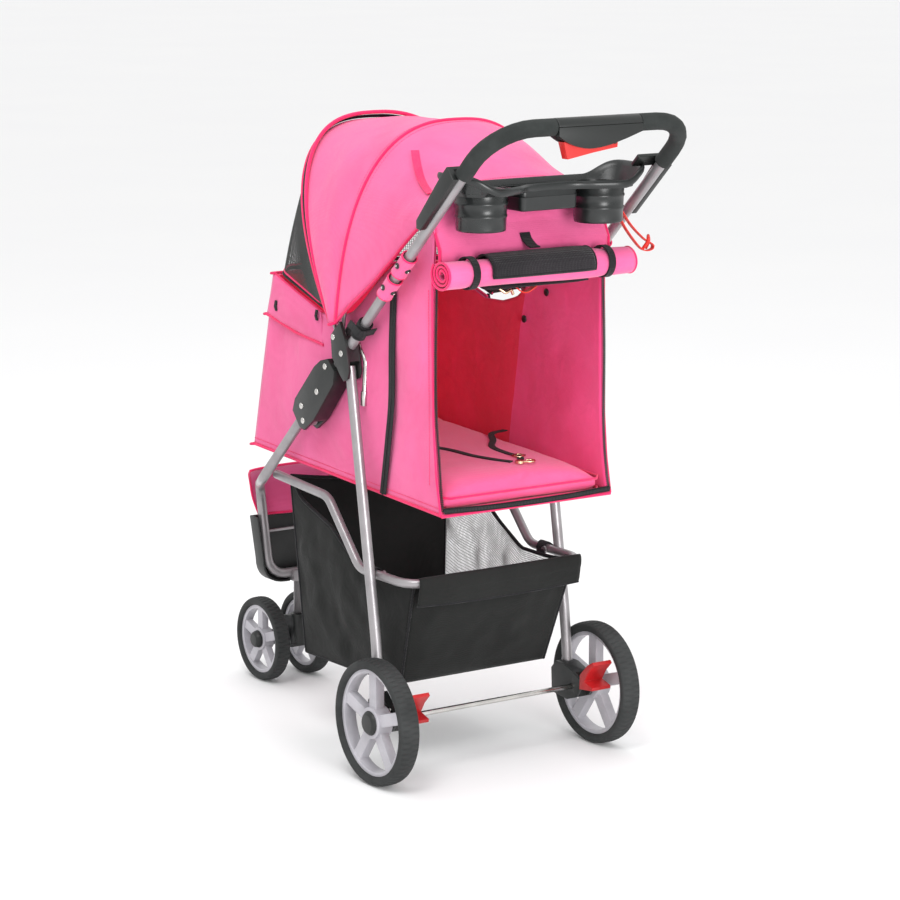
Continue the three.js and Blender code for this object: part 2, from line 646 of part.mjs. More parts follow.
function basketBag() {
  const { rear, front, bottomRear, bottomFront, floor, half, footHalf } = BASKET;
  const side = (inset) => outline([{ y: rear + inset, z: 286 }, { y: bottomRear + inset, z: floor + inset },
    { y: bottomFront - inset, z: floor - 6 + inset }, { y: front - inset, z: 300 }, { y: front - inset, z: 400 },
    { y: front - 30, z: 376 + inset * 10 }, { y: 214, z: 330 + inset * 10 }, { y: 122, z: 287 + inset * 10 },
    { y: rear + inset, z: 286 + inset * 10 }]);
  const taper = (geometry, inset) => {
    const place = geometry.attributes.position;
    for (let i = 0; i < place.count; i++) {
      const down = THREE.MathUtils.clamp((290 - place.getZ(i)) / (290 - floor), 0, 1);
      const full = THREE.MathUtils.lerp(half, footHalf, down) - inset;
      place.setX(i, Math.sign(place.getX(i)) * full);
    }
    return geometry;
  };
  const outside = taper(sidePlate(side(0), -half, half), 0);
  const inside = taper(sidePlate(side(CLOTH), -half, half), CLOTH);
  return cut(outside, inside);
}

add('basket_tube', basketTube(), silver);
add('basket', basketBag(), blackCloth);

// ---------------------------------------------------------------- cabin
const wallOutline = [FLOOR_REAR, FLOOR_FRONT, COLLAR, RIM_FRONT, RIM_SIDE, along(296, 44), along(276, 16),
  along(6, 16), { y: -92, z: 812 }, { y: -92, z: 745 }, { y: -79, z: 700 }, { y: -79, z: 560 }];
const wall = () => sidePlate(outline(wallOutline), -CABIN_HALF, -CABIN_HALF + CLOTH);
const INNER_HALF = CABIN_HALF - CLOTH - GAP;

const floorHeight = (y) =>
  THREE.MathUtils.mapLinear(y, FLOOR_REAR.y, FLOOR_FRONT.y, FLOOR_REAR.z, FLOOR_FRONT.z);
const level = (y, rise) => ({ y, z: floorHeight(y) + rise });

const cabinFloor = () =>
  sidePlate(outline([level(-98, 0), level(436, 0),
    level(434, CLOTH), level(-98, CLOTH)]), -INNER_HALF, INNER_HALF);

const cabinPad = () =>
  sidePlate(outline([level(-93, CLOTH + GAP), level(426, CLOTH + GAP), level(422, PAD_EDGE),
    level(370, PAD_CROWN), level(-30, PAD_CROWN), level(-90, PAD_EDGE)]), -INNER_HALF + 1, INNER_HALF - 1);

const frontWall = () =>
  sidePlate(outline([level(435, CLOTH + GAP), COLLAR, RIM_FRONT, { y: RIM_FRONT.y - CLOTH, z: RIM_FRONT.z - 1 },
    { y: COLLAR.y - CLOTH, z: COLLAR.z }, level(435 - CLOTH, CLOTH + GAP)]), -INNER_HALF, INNER_HALF);

// Height of the canopy's back edge over a point across the cabin
function canopyBackHeight(x) {
  const side = along(0, 24).z;
  const rise = (1 - Math.abs(x / 160) ** BOW_SQUARENESS) ** (1 / BOW_SQUARENESS);
  return THREE.MathUtils.lerp(side, CANOPY_BACK.z, rise);
}

// Cloth behind the roll and up to the canopy, clear of the tray's cups
function rearHeader() {
  return cloth((u, v) => {
    const x = (2 * u - 1) * (INNER_HALF - 0.3);
    const top = canopyBackHeight(x) - 9;
    const rise = new THREE.CatmullRomCurve3([
      new THREE.Vector3(x, -90, 746),
      new THREE.Vector3(x, -90, 802),
      new THREE.Vector3(x, -73, 832),
      new THREE.Vector3(x, -70, top),
    ]);
    return rise.getPoint(v);
  }, 10, 6);
}

addPair('cabin_wall', wall(), pinkCloth);
add('cabin_floor', cabinFloor(), pinkCloth);
add('cabin_pad', cabinPad(), redCloth);
add('cabin_front_wall', frontWall(), pinkCloth);
add('rear_header', rearHeader(), pinkCloth);
add('door_roll', rodX(-ROLL.half, ROLL.half, ROLL, ROLL.radius, 20), pinkCloth);

// ---------------------------------------------------------------- leash and wrist strap
// A flat strap of webbing: the route is its middle and the band is its width by its thickness
const WEBBING = { width: 10, thick: 1.6 };
const LEASH_WIDTH = 10;

function strap(points, width, thick, widthFirst) {
  const band = new THREE.Shape();
  const [w, t] = widthFirst ? [width / 2, thick / 2] : [thick / 2, width / 2];
  band.moveTo(-w, -t);
  band.lineTo(w, -t);
  band.lineTo(w, t);
  band.lineTo(-w, t);
  band.closePath();
  return sweep(band, new Route(new THREE.CatmullRomCurve3(points).getPoints(points.length * 2)), 1);
}

const onPad = (x, y, rise = 0) => new THREE.Vector3(x, y, level(y, PAD_CROWN + 1.4 + rise).z);
const LEASH_A = [onPad(140, 160), onPad(108, 150), onPad(84, 112), onPad(56, 74),
  onPad(52, 30), onPad(56, 4), onPad(47, -14)];
const LEASH_B = [onPad(-30, 132), onPad(-12, 88), onPad(-4, 44), onPad(10, 8), onPad(26, -20)];

// Swivel ring and hook at the leash's end, lying on the pad
function leashHook() {
  const z = onPad(0, -24, 1.4).z;
  const ring = turned([[-1.8, 3.2], [-1.8, 7], [1.8, 7], [1.8, 3.2], [-1.8, 3.2]], 16)
    .rotateY(Math.PI / 2)
    .translate(32, -32, z);
  const hook = pipe(bent([new THREE.Vector3(36, -36, z), new THREE.Vector3(50, -44, z),
    new THREE.Vector3(60, -32, z), new THREE.Vector3(48, -26, z)], 6, 3), 1.8, 5);
  return join(ring, hook);
}

// Loop of webbing tied round the handle's right side under the tray
const WRIST_LOOP = [[150, 842], [170, 818], [196, 796], [214, 786],
  [211, 779], [192, 781], [166, 806], [146, 832]]
  .map(([x, z]) => new THREE.Vector3(x, -118 + (x - 150) * 0.1, z));

add('leash_strap_a', strap(LEASH_A, LEASH_WIDTH, WEBBING.thick, false), redCloth);
add('leash_strap_b', strap(LEASH_B, LEASH_WIDTH, WEBBING.thick, false), redCloth);
add('leash_hook', leashHook(), chrome);
add('wrist_strap', strap(WRIST_LOOP, WEBBING.width, WEBBING.thick, true), redCloth);

// ---------------------------------------------------------------- canopy
// A bow is half of a squared ellipse that stands on the canopy pivot and leans with it
const bowPoint = (u, halfWidth, foot, top) => {
  const turn = Math.PI * (1 - u);
  const power = 2 / BOW_SQUARENESS;
  const x = Math.sign(Math.cos(turn)) * Math.abs(Math.cos(turn)) ** power * halfWidth;
  const rise = Math.abs(Math.sin(turn)) ** power;
  return new THREE.Vector3(x, THREE.MathUtils.lerp(foot.y, top.y, rise), THREE.MathUtils.lerp(foot.z, top.z, rise));
};
const leaning = (lean, height) => ({
  y: CANOPY_PIVOT.y + height * Math.cos(lean),
  z: CANOPY_PIVOT.z + height * Math.sin(lean),
});

function bow({ lean, height }, offset) {
  const top = leaning(lean, height);
  const foot = leaning(lean, 8);
  const points = [];
  for (let i = 0; i <= 24; i++) {
    const u = 0.5 - 0.5 * Math.cos((Math.PI * i) / 24);
    points.push(bowPoint(u, FRAME_HALF + offset, foot, top));
  }
  const hoop = pipe(new Route(points), BOW_R - 0.8, 4);
  const eyes = [-1, 1].map((side) => rodX(side * (FRAME_HALF + offset) - 2, side * (FRAME_HALF + offset) + 2,
    CANOPY_PIVOT, 9, 14));
  const bores = [-1, 1].map((side) =>
    rodX(side * FRAME_HALF - 9, side * FRAME_HALF + 9, CANOPY_PIVOT, 3.1, 14));
  return cut(join(hoop, ...eyes), ...bores);
}

const SKIN = 9;      // how far the canopy's cloth stands off the bows

function canopyRearPanel() {
  const topFront = leaning(MID_BOW.lean + 0.03, MID_BOW.height + SKIN);
  const footRear = along(0, 24);
  const footFront = leaning(MID_BOW.lean + 0.03, 26);
  return cloth((u, v) => {
    const foot = {
      y: THREE.MathUtils.lerp(footRear.y, footFront.y, v),
      z: THREE.MathUtils.lerp(footRear.z, footFront.z, v),
    };
    const swell = 10 * Math.sin(Math.PI * v);
    const top = {
      y: THREE.MathUtils.lerp(CANOPY_BACK.y, topFront.y, v),
      z: THREE.MathUtils.lerp(CANOPY_BACK.z, topFront.z, v) + swell,
    };
    return bowPoint(u, THREE.MathUtils.lerp(160, FRAME_HALF + SKIN, v), foot, top);
  }, 14, 6);
}

// Stretched straight from the middle bow to the front one
function canopyFrontPanel() {
  const rearLean = MID_BOW.lean - 0.03;
  const frontLean = FRONT_BOW.lean + 0.03;
  return cloth((u, v) => {
    const half = FRAME_HALF + SKIN;
    const rear = bowPoint(u, half, leaning(rearLean, 26), leaning(rearLean, MID_BOW.height + SKIN));
    const front = bowPoint(u, half, leaning(frontLean, 26), leaning(frontLean, FRONT_BOW.height + SKIN));
    return rear.lerp(front, v);
  }, 14, 6);
}

// The mesh window closes the front, from the front bow down to the cabin's rim
function frontWindow() {
  const lean = FRONT_BOW.lean - 0.04;
  const rimRoute = bent([
    new THREE.Vector3(-CABIN_HALF, 205, RIM_SIDE.z - 2),
    new THREE.Vector3(-CABIN_HALF, RIM_FRONT.y, RIM_FRONT.z + 5),
    new THREE.Vector3(CABIN_HALF, RIM_FRONT.y, RIM_FRONT.z + 5),
    new THREE.Vector3(CABIN_HALF, 205, RIM_SIDE.z - 2),
  ], 40, 4);
  const rim = new THREE.CatmullRomCurve3(rimRoute.points);
  return cloth((u, v) => {
    const high = bowPoint(u, FRAME_HALF - 8, leaning(lean, 60), leaning(lean, FRONT_BOW.height - 2));
    return high.lerp(rim.getPointAt(u), v);
  }, 14, 5);
}

add('canopy_mid_bow', bow(MID_BOW, -3.7), silver);
add('canopy_front_bow', bow(FRONT_BOW, 3.7), silver);
add('canopy_rear_panel', canopyRearPanel(), pinkCloth);
add('canopy_front_panel', canopyFrontPanel(), pinkCloth);
add('front_window', frontWindow(), meshCloth);

export default stroller;
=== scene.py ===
# %% [markdown]
# # A folding pet stroller
# A tube frame carries a soft cabin, a folding canopy, a storage basket and a tray for the person
# who pushes it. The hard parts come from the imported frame. The soft parts, which a frame only
# blocks out, are made here as sewn cloth, and every part gets its finish.

# %% Load the frame
import json
import math
import bpy
import bmesh
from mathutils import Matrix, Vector, noise

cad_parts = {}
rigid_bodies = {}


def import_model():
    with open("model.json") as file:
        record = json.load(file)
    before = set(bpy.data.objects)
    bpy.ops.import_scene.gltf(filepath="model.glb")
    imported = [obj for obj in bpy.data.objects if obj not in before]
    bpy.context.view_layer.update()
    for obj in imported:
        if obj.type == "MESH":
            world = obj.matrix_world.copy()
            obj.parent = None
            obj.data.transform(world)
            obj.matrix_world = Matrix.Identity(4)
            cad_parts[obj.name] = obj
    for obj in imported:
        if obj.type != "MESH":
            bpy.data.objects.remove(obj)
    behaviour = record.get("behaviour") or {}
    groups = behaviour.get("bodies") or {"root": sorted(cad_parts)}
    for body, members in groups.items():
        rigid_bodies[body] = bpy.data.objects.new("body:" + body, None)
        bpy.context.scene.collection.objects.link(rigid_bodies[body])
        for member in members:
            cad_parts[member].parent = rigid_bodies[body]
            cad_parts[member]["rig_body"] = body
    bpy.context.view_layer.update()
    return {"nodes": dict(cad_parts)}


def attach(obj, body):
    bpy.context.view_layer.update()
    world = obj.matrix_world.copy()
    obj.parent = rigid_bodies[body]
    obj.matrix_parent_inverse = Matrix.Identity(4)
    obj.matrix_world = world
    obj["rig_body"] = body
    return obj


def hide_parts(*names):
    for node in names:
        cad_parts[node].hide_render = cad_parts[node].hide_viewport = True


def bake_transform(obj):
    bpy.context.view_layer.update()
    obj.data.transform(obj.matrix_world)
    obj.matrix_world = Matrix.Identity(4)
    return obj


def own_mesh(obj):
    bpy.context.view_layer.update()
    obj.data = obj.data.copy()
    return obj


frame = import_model()

# %% [markdown]
# The stroller is described from the side. Its main tube slopes at 43 degrees, so one helper turns
# a distance along that tube, and one square to it, into a place. Sizes are in millimetres here,
# because that is how a maker thinks, and one function turns them into metres.

# %% Places
REAR_AXLE_Y = -200.5
SLOPE = math.radians(43)
TUBE_X = 173


def at(x, y, z):
    return Vector((x, y + REAR_AXLE_Y, z)) / 1000


def along(s, v=0.0):
    y = -97 + s * math.cos(SLOPE) + v * math.sin(SLOPE)
    return y, 833 - s * math.sin(SLOPE) + v * math.cos(SLOPE)


def mix(a, b, t):
    return a + (b - a) * t


SLOPE_NORMAL = (0, math.sin(SLOPE), math.cos(SLOPE))

# %% [markdown]
# The camera stands behind and to the left, a little above the handle, with a long lens.

# %% Camera
camera = bpy.data.objects.new("camera", bpy.data.cameras.new("camera"))
bpy.context.scene.collection.objects.link(camera)
camera.location = at(-2516, -3640, 1342)
camera.rotation_euler = (math.radians(79), 0, math.radians(-33.89))
camera.data.lens = 121.24
camera.data.sensor_width = 36
bpy.context.scene.camera = camera
print("camera", tuple(camera.location))

# %% [markdown]
# ## Finishes
# Colours are written as hex codes, the way a paint card gives them, and turned to linear light
# by one function. One more function adds a shader node with its settings and links.

# %% Colour and node helpers
def paint(code):
    parts = [int(code[i:i + 2], 16) / 255 for i in (1, 3, 5)]
    return (*[c / 12.92 if c <= 0.04045 else ((c + 0.055) / 1.055) ** 2.4 for c in parts], 1)


def add_node(tree, kind, inputs=None, **settings):
    node = tree.nodes.new(kind)
    for key, value in settings.items():
        setattr(node, key, value)
    for name, value in (inputs or {}).items():
        if isinstance(value, bpy.types.NodeSocket):
            tree.links.new(value, node.inputs[name])
        else:
            node.inputs[name].default_value = value
    return node


def new_finish(name, **sockets):
    finish = bpy.data.materials.new(name)
    finish.use_nodes = True
    tree = finish.node_tree
    shader = tree.nodes["Principled BSDF"]
    for socket, value in sockets.items():
        shader.inputs[socket.replace("_", " ")].default_value = value
    place = add_node(tree, "ShaderNodeTexCoord").outputs["Object"]
    return finish, tree, shader, place


# %% [markdown]
# **Cloth.** The cabin is polyester oxford cloth: a plain weave, matt, with a soft sheen where the
# threads turn away. Real threads are about 0.5 mm apart, too fine to show, so they are drawn three
# times as coarse. Three sets of bands cross in space, and any flat panel cuts two of them into a grid.

# %% Cloth
def cloth_finish(name, light, dark, thread_mm=1.5, roughness=0.86, relief=0.35, sheen=0.25, slack=0.3):
    finish, tree, shader, place = new_finish(
        name, Sheen_Weight=sheen, Sheen_Roughness=0.45, Specular_IOR_Level=0.25)
    bands = [add_node(tree, "ShaderNodeTexWave", {"Vector": place, "Scale": 314.0 / thread_mm,
                                                  "Distortion": 0.25, "Detail": 1.0},
                      bands_direction=axis).outputs["Fac"] for axis in "XYZ"]
    two = add_node(tree, "ShaderNodeMath", {0: bands[0], 1: bands[1]}, operation="ADD")
    weave = add_node(tree, "ShaderNodeMath", {0: two.outputs[0], 1: bands[2]}, operation="ADD")
    fuzz = add_node(tree, "ShaderNodeTexNoise", {"Vector": place, "Scale": 900.0, "Detail": 2.0})
    blotch = add_node(tree, "ShaderNodeTexNoise", {"Vector": place, "Scale": 9.0, "Detail": 4.0})
    soft = add_node(tree, "ShaderNodeMapRange", {"Value": blotch.outputs["Fac"], "From Min": 0.35,
                                                 "From Max": 0.65})
    thread = add_node(tree, "ShaderNodeMapRange", {"Value": weave.outputs[0], "From Min": 0.4,
                                                   "From Max": 2.4, "To Min": 0.0, "To Max": 0.35})
    amount = add_node(tree, "ShaderNodeMath", {0: soft.outputs[0], 1: thread.outputs[0]},
                      operation="SUBTRACT", use_clamp=True)
    tone = add_node(tree, "ShaderNodeMix", {0: amount.outputs[0], 6: paint(light),
                                             7: paint(dark)}, data_type="RGBA")
    tree.links.new(tone.outputs[2], shader.inputs["Base Color"])
    rough = add_node(tree, "ShaderNodeMapRange", {"Value": fuzz.outputs["Fac"],
                                                  "To Min": roughness - 0.08, "To Max": roughness + 0.08})
    tree.links.new(rough.outputs[0], shader.inputs["Roughness"])
    height = add_node(tree, "ShaderNodeMath", {0: fuzz.outputs["Fac"], 1: weave.outputs[0]},
                      operation="ADD")
    bump = add_node(tree, "ShaderNodeBump", {"Strength": relief, "Distance": 0.0005,
                                             "Height": height.outputs[0]})
    folds = add_node(tree, "ShaderNodeTexNoise", {"Vector": place, "Scale": 26.0, "Detail": 4.0,
                                                  "Distortion": 0.6})
    loose = add_node(tree, "ShaderNodeBump", {"Strength": slack, "Distance": 0.006,
                                              "Height": folds.outputs["Fac"], "Normal": bump.outputs[0]})
    tree.links.new(loose.outputs["Normal"], shader.inputs["Normal"])
    return finish


PINK = cloth_finish("pink_oxford_cloth", "#E9679B", "#DF5A8D")
HOT_PINK = cloth_finish("hot_pink_binding", "#F2306F", "#E81F60", thread_mm=1.1, relief=0.5)
# The lining comes as a lit copy and a shaded copy of one colour. The darker crimson copy is painted shade inside
# the cabin, and the lighter rose copy is painted light on its lit half.
SHADED_LINING = cloth_finish("lining_painted_shade", "#EE2856", "#E02048", thread_mm=1.6)
LINING_LIT = cloth_finish("lining_painted_light", "#F4528E", "#EC4480", thread_mm=1.6)
PAD_CLOTH = cloth_finish("pad_cloth", "#F26A9C", "#EA5A90", thread_mm=1.5)
BLACK_CLOTH = cloth_finish("black_oxford_cloth", "#1D1E1D", "#141514", thread_mm=1.6, sheen=0.06)
WEBBING = cloth_finish("nylon_webbing", "#1B1B1E", "#121214", thread_mm=1.8, relief=0.8, sheen=0.1)
RED_WEBBING = cloth_finish("red_wrist_webbing", "#E2382C", "#CC2A22", thread_mm=1.8, relief=0.7)
NET = cloth_finish("polyester_net", "#4B4E4D", "#3B3E3D", thread_mm=1.2, sheen=0.1)
PALE_NET = cloth_finish("pale_net", "#A5A8A6", "#8F9290", thread_mm=1.2, sheen=0.1)
ROLL_NET = cloth_finish("door_net", "#262226", "#1A181B", thread_mm=2.6, relief=0.9, sheen=0.15)
print("cloths made")

# %% [markdown]
# **Hard finishes.** The tubes are steel with a silver-grey lacquer: fine metal flake and slight
# orange peel. Black fittings are moulded ABS with a spark-eroded grain. Tyres are matt rubber,
# the grips are foam with tiny pores, and the rims are pale polypropylene.

# %% Hard finishes
def hard_finish(name, light, dark, roughness, grain_mm, relief, metallic=0.0, coat=0.0, spread=0.06):
    finish, tree, shader, place = new_finish(name, Metallic=metallic, Coat_Weight=coat)
    grain = add_node(tree, "ShaderNodeTexNoise", {"Vector": place, "Scale": 1000.0 / grain_mm,
                                                  "Detail": 3.0})
    drift = add_node(tree, "ShaderNodeTexNoise", {"Vector": place, "Scale": 22.0, "Detail": 5.0,
                                                  "Roughness": 0.62})
    spots = add_node(tree, "ShaderNodeMapRange", {"Value": drift.outputs["Fac"], "From Min": 0.38,
                                                  "From Max": 0.66})
    tone = add_node(tree, "ShaderNodeMix", {0: spots.outputs[0], 6: paint(light),
                                             7: paint(dark)}, data_type="RGBA")
    tree.links.new(tone.outputs[2], shader.inputs["Base Color"])
    rough = add_node(tree, "ShaderNodeMapRange", {"Value": drift.outputs["Fac"], "From Min": 0.3,
                                                  "From Max": 0.7, "To Min": roughness - spread,
                                                  "To Max": roughness + spread})
    tree.links.new(rough.outputs[0], shader.inputs["Roughness"])
    bump = add_node(tree, "ShaderNodeBump", {"Strength": relief, "Distance": 0.0003,
                                             "Height": grain.outputs["Fac"]})
    tree.links.new(bump.outputs["Normal"], shader.inputs["Normal"])
    return finish


SILVER = hard_finish("silver_lacquered_steel", "#9C999B", "#8E8B8D", 0.36, 1.2, 0.05, metallic=0.55, coat=0.2)
ABS = hard_finish("black_moulded_abs", "#1B1E1D", "#141716", 0.38, 0.9, 0.16)
ABS_SATIN = hard_finish("tray_abs", "#1E2121", "#161919", 0.30, 1.0, 0.08)
FOAM = hard_finish("grip_foam", "#262A29", "#1C201F", 0.88, 1.4, 0.6)
RED_ABS = hard_finish("red_moulded_abs", "#D22A26", "#BC1D1C", 0.36, 1.0, 0.08, coat=0.15)
PEDAL_RED = hard_finish("red_pedal_nylon", "#B4181C", "#981014", 0.42, 1.0, 0.12)
RUBBER = hard_finish("tyre_rubber", "#2C2E2E", "#222424", 0.8, 1.3, 0.35)
RIM = hard_finish("pale_rim_polypropylene", "#B6B4BA", "#A8A6AC", 0.38, 1.5, 0.08, coat=0.1)
PLATED = hard_finish("nickel_plated_steel", "#D2D0CC", "#BDBBB8", 0.2, 0.8, 0.05, metallic=1.0)
BRASS = hard_finish("plated_brass_clip", "#E4C9A6", "#CDA983", 0.24, 0.8, 0.05, metallic=1.0)
ZIP = hard_finish("nylon_zip_teeth", "#1E1D20", "#141316", 0.5, 1.2, 0.2)
print("hard finishes made")

# %% [markdown]
# ## Makers
# A piece ends as a plain mesh at the origin, tied to a body of the frame. These helpers make a
# mesh from points and faces, turn modifiers into plain geometry, and hang a piece on its body.

# %% Mesh helpers
def new_piece(name, points, faces, finish, smooth=True):
    mesh = bpy.data.meshes.new(name)
    mesh.from_pydata([tuple(p) for p in points], [], faces)
    mesh.materials.append(finish)
    mesh.update()
    mesh.shade_smooth() if smooth else mesh.shade_flat()
    piece = bpy.data.objects.new(name, mesh)
    bpy.context.scene.collection.objects.link(piece)
    return piece


def settle(piece):
    """The piece's modifiers become plain geometry."""
    graph = bpy.context.evaluated_depsgraph_get()
    mesh = bpy.data.meshes.new_from_object(piece.evaluated_get(graph))
    mesh.transform(piece.matrix_world)
    name = piece.name
    bpy.data.objects.remove(piece)
    done = bpy.data.objects.new(name, mesh)
    bpy.context.scene.collection.objects.link(done)
    return done


def modify(piece, kind, **settings):
    modifier = piece.modifiers.new(kind.lower(), kind)
    for key, value in settings.items():
        setattr(modifier, key, value)
    return modifier


def hang(piece, body, slot, *nodes):
    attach(piece, body)
    if nodes:
        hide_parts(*nodes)
    return piece


def grid_faces(across, lengthways, wrap=False):
    row = across if wrap else across + 1
    return [(j * row + i, j * row + (i + 1) % row, (j + 1) * row + (i + 1) % row, (j + 1) * row + i)
            for j in range(lengthways) for i in range(across)]


def surface(name, place, across, lengthways, finish, thick_mm=1.2, wrap=False):
    """A cloth sheet from a rule for its middle, place(u, v), with both ends of u and v in 0 to 1."""
    points = [place(i / across, j / lengthways)
              for j in range(lengthways + 1) for i in range(across if wrap else across + 1)]
    piece = new_piece(name, points, grid_faces(across, lengthways, wrap), finish)
    if thick_mm:
        modify(piece, "SOLIDIFY", thickness=thick_mm / 1000, offset=0, use_even_offset=True)
        piece = settle(piece)
    return piece


def row_of(place, v, steps):
    """Points across a surface rule, at one v."""
    return [place(k / steps, v) for k in range(steps + 1)]


def column_of(place, u, steps):
    """Points along a surface rule, at one u."""
    return [place(u, k / steps) for k in range(steps + 1)]


def tube_along(name, points, radius_mm, finish, sides=8, closed=False, smooth=True):
    """A round cord of cloth or metal through points in the row frame."""
    curve = bpy.data.curves.new(name, "CURVE")
    curve.dimensions = "3D"
    curve.bevel_depth = radius_mm / 1000
    curve.bevel_resolution = max(1, sides // 4)
    curve.use_fill_caps = True
    spline = curve.splines.new("POLY")
    spline.points.add(len(points) - 1)
    for target, point in zip(spline.points, points):
        target.co = (*point, 1)
    spline.use_cyclic_u = closed
    curve.materials.append(finish)
    piece = bpy.data.objects.new(name, curve)
    bpy.context.scene.collection.objects.link(piece)
    piece = settle(piece)
    if smooth:
        piece.data.shade_smooth()
    return piece


def join_pieces(name, pieces):
    """Several plain pieces become one mesh, each keeping its finish."""
    whole = bmesh.new()
    finishes = []
    for piece in pieces:
        slots = []
        for finish in piece.data.materials:
            if finish not in finishes:
                finishes.append(finish)
            slots.append(finishes.index(finish))
        start = len(whole.faces)
        whole.from_mesh(piece.data)
        whole.faces.ensure_lookup_table()
        for face in whole.faces[start:]:
            face.material_index = slots[face.material_index] if slots else 0
        bpy.data.objects.remove(piece)
    mesh = bpy.data.meshes.new(name)
    whole.to_mesh(mesh)
    whole.free()
    for finish in finishes:
        mesh.materials.append(finish)
    done = bpy.data.objects.new(name, mesh)
    bpy.context.scene.collection.objects.link(done)
    return done


def follow(points, steps):
    """Evenly spaced points on a smooth line through the given ones."""
    ends = [points[0] * 2 - points[1], *points, points[-1] * 2 - points[-2]]
    fine = []
    for a, b, c, d in zip(ends, ends[1:], ends[2:], ends[3:]):
        for k in range(12):
            t = k / 12
            fine.append(0.5 * (2 * b + (c - a) * t + (2 * a - 5 * b + 4 * c - d) * t * t
                               + (3 * b - a - 3 * c + d) * t ** 3))
    fine.append(points[-1].copy())
    return even(fine, steps)


def even(points, steps):
    lengths = [0.0]
    for a, b in zip(points, points[1:]):
        lengths.append(lengths[-1] + (b - a).length)
    out, i = [], 0
    for k in range(steps + 1):
        want = lengths[-1] * k / steps
        while i < len(points) - 2 and lengths[i + 1] < want:
            i += 1
        span = lengths[i + 1] - lengths[i] or 1
        out.append(points[i].lerp(points[i + 1], min(1, max(0, (want - lengths[i]) / span))))
    return out


print("helpers ready")

# %% [markdown]
# ## What repeats
# Stitches and zip teeth follow a line, and rivets, snaps and screws sit on points. Geometry Nodes
# make both: a tree walks the line, or visits each point, and puts a small shape there.

# %% Trees for stitches, teeth and studs
def start_tree(name, sizes):
    tree = bpy.data.node_groups.new(name, "GeometryNodeTree")
    tree.interface.new_socket("Geometry", in_out="INPUT", socket_type="NodeSocketGeometry")
    for label, kind, value in sizes:
        socket = tree.interface.new_socket(label, in_out="INPUT", socket_type=kind)
        if value is not None:
            socket.default_value = value
    tree.interface.new_socket("Geometry", in_out="OUTPUT", socket_type="NodeSocketGeometry")
    return tree, add_node(tree, "NodeGroupInput").outputs, add_node(tree, "NodeGroupOutput")


def finish_tree(tree, instances, finish_socket, output):
    real = add_node(tree, "GeometryNodeRealizeInstances", {"Geometry": instances})
    done = add_node(tree, "GeometryNodeSetMaterial", {"Geometry": real.outputs[0],
                                                      "Material": finish_socket})
    tree.links.new(done.outputs[0], output.inputs[0])
    return tree


def stitch_tree():
    tree, given, output = start_tree("repeat_along_line", [
        ("Spacing", "NodeSocketFloat", 0.004), ("Size", "NodeSocketVector", (0.003, 0.0006, 0.0006)),
        ("Finish", "NodeSocketMaterial", None)])
    line = add_node(tree, "GeometryNodeMeshToCurve", {"Mesh": given["Geometry"]})
    marks = add_node(tree, "GeometryNodeCurveToPoints", {"Curve": line.outputs[0],
                                                         "Length": given["Spacing"]}, mode="LENGTH")
    bead = add_node(tree, "GeometryNodeMeshCube", {"Size": given["Size"]})
    turn = add_node(tree, "FunctionNodeRotateRotation", {"Rotation": marks.outputs["Rotation"]},
                    rotation_space="LOCAL")
    turn.inputs["Rotate By"].default_value = (0, math.pi / 2, 0)
    placed = add_node(tree, "GeometryNodeInstanceOnPoints", {
        "Points": marks.outputs["Points"], "Instance": bead.outputs["Mesh"],
        "Rotation": turn.outputs[0]})
    return finish_tree(tree, placed.outputs[0], given["Finish"], output)


def stud_tree():
    tree, given, output = start_tree("studs_on_points", [
        ("Radius", "NodeSocketFloat", 0.004), ("Height", "NodeSocketFloat", 0.002),
        ("Finish", "NodeSocketMaterial", None)])
    facing = add_node(tree, "GeometryNodeInputNamedAttribute", {"Name": "facing"},
                      data_type="FLOAT_VECTOR")
    turn = add_node(tree, "FunctionNodeAlignRotationToVector", {"Vector": facing.outputs[0]}, axis="Z")
    ball = add_node(tree, "GeometryNodeMeshUVSphere", {"Segments": 16, "Rings": 10, "Radius": 1.0})
    scale = add_node(tree, "ShaderNodeCombineXYZ", {"X": given["Radius"], "Y": given["Radius"],
                                                    "Z": given["Height"]})
    smooth = add_node(tree, "GeometryNodeSetShadeSmooth", {"Geometry": ball.outputs["Mesh"]})
    placed = add_node(tree, "GeometryNodeInstanceOnPoints", {
        "Points": given["Geometry"], "Instance": smooth.outputs[0], "Rotation": turn.outputs[0],
        "Scale": scale.outputs[0]})
    return finish_tree(tree, placed.outputs[0], given["Finish"], output)


def net_tree():
    tree, given, output = start_tree("net_of_threads", [
        ("Thread", "NodeSocketFloat", 0.0005), ("Finish", "NodeSocketMaterial", None)])
    line = add_node(tree, "GeometryNodeMeshToCurve", {"Mesh": given["Geometry"]})
    ring = add_node(tree, "GeometryNodeCurvePrimitiveCircle", {"Resolution": 3,
                                                               "Radius": given["Thread"]})
    thread = add_node(tree, "GeometryNodeCurveToMesh", {"Curve": line.outputs[0],
                                                        "Profile Curve": ring.outputs[0]})
    return finish_tree(tree, thread.outputs[0], given["Finish"], output)


STITCH, STUD, NET_TREE = stitch_tree(), stud_tree(), net_tree()


def grow(name, seed, tree, **values):
    """Runs a tree on a seed object of points or lines, and keeps the result as a plain mesh."""
    modifier = seed.modifiers.new("grow", "NODES")
    modifier.node_group = tree
    for item in tree.interface.items_tree:
        if item.in_out == "INPUT" and item.name in values:
            modifier[item.identifier] = values[item.name]
    seed.name = name
    return settle(seed)


def line_seed(lines):
    points = [p for line in lines for p in line]
    edges, start = [], 0
    for line in lines:
        edges += [(start + i, start + i + 1) for i in range(len(line) - 1)]
        start += len(line)
    mesh = bpy.data.meshes.new("seed")
    mesh.from_pydata([tuple(p) for p in points], edges, [])
    seed = bpy.data.objects.new("seed", mesh)
    bpy.context.scene.collection.objects.link(seed)
    return seed


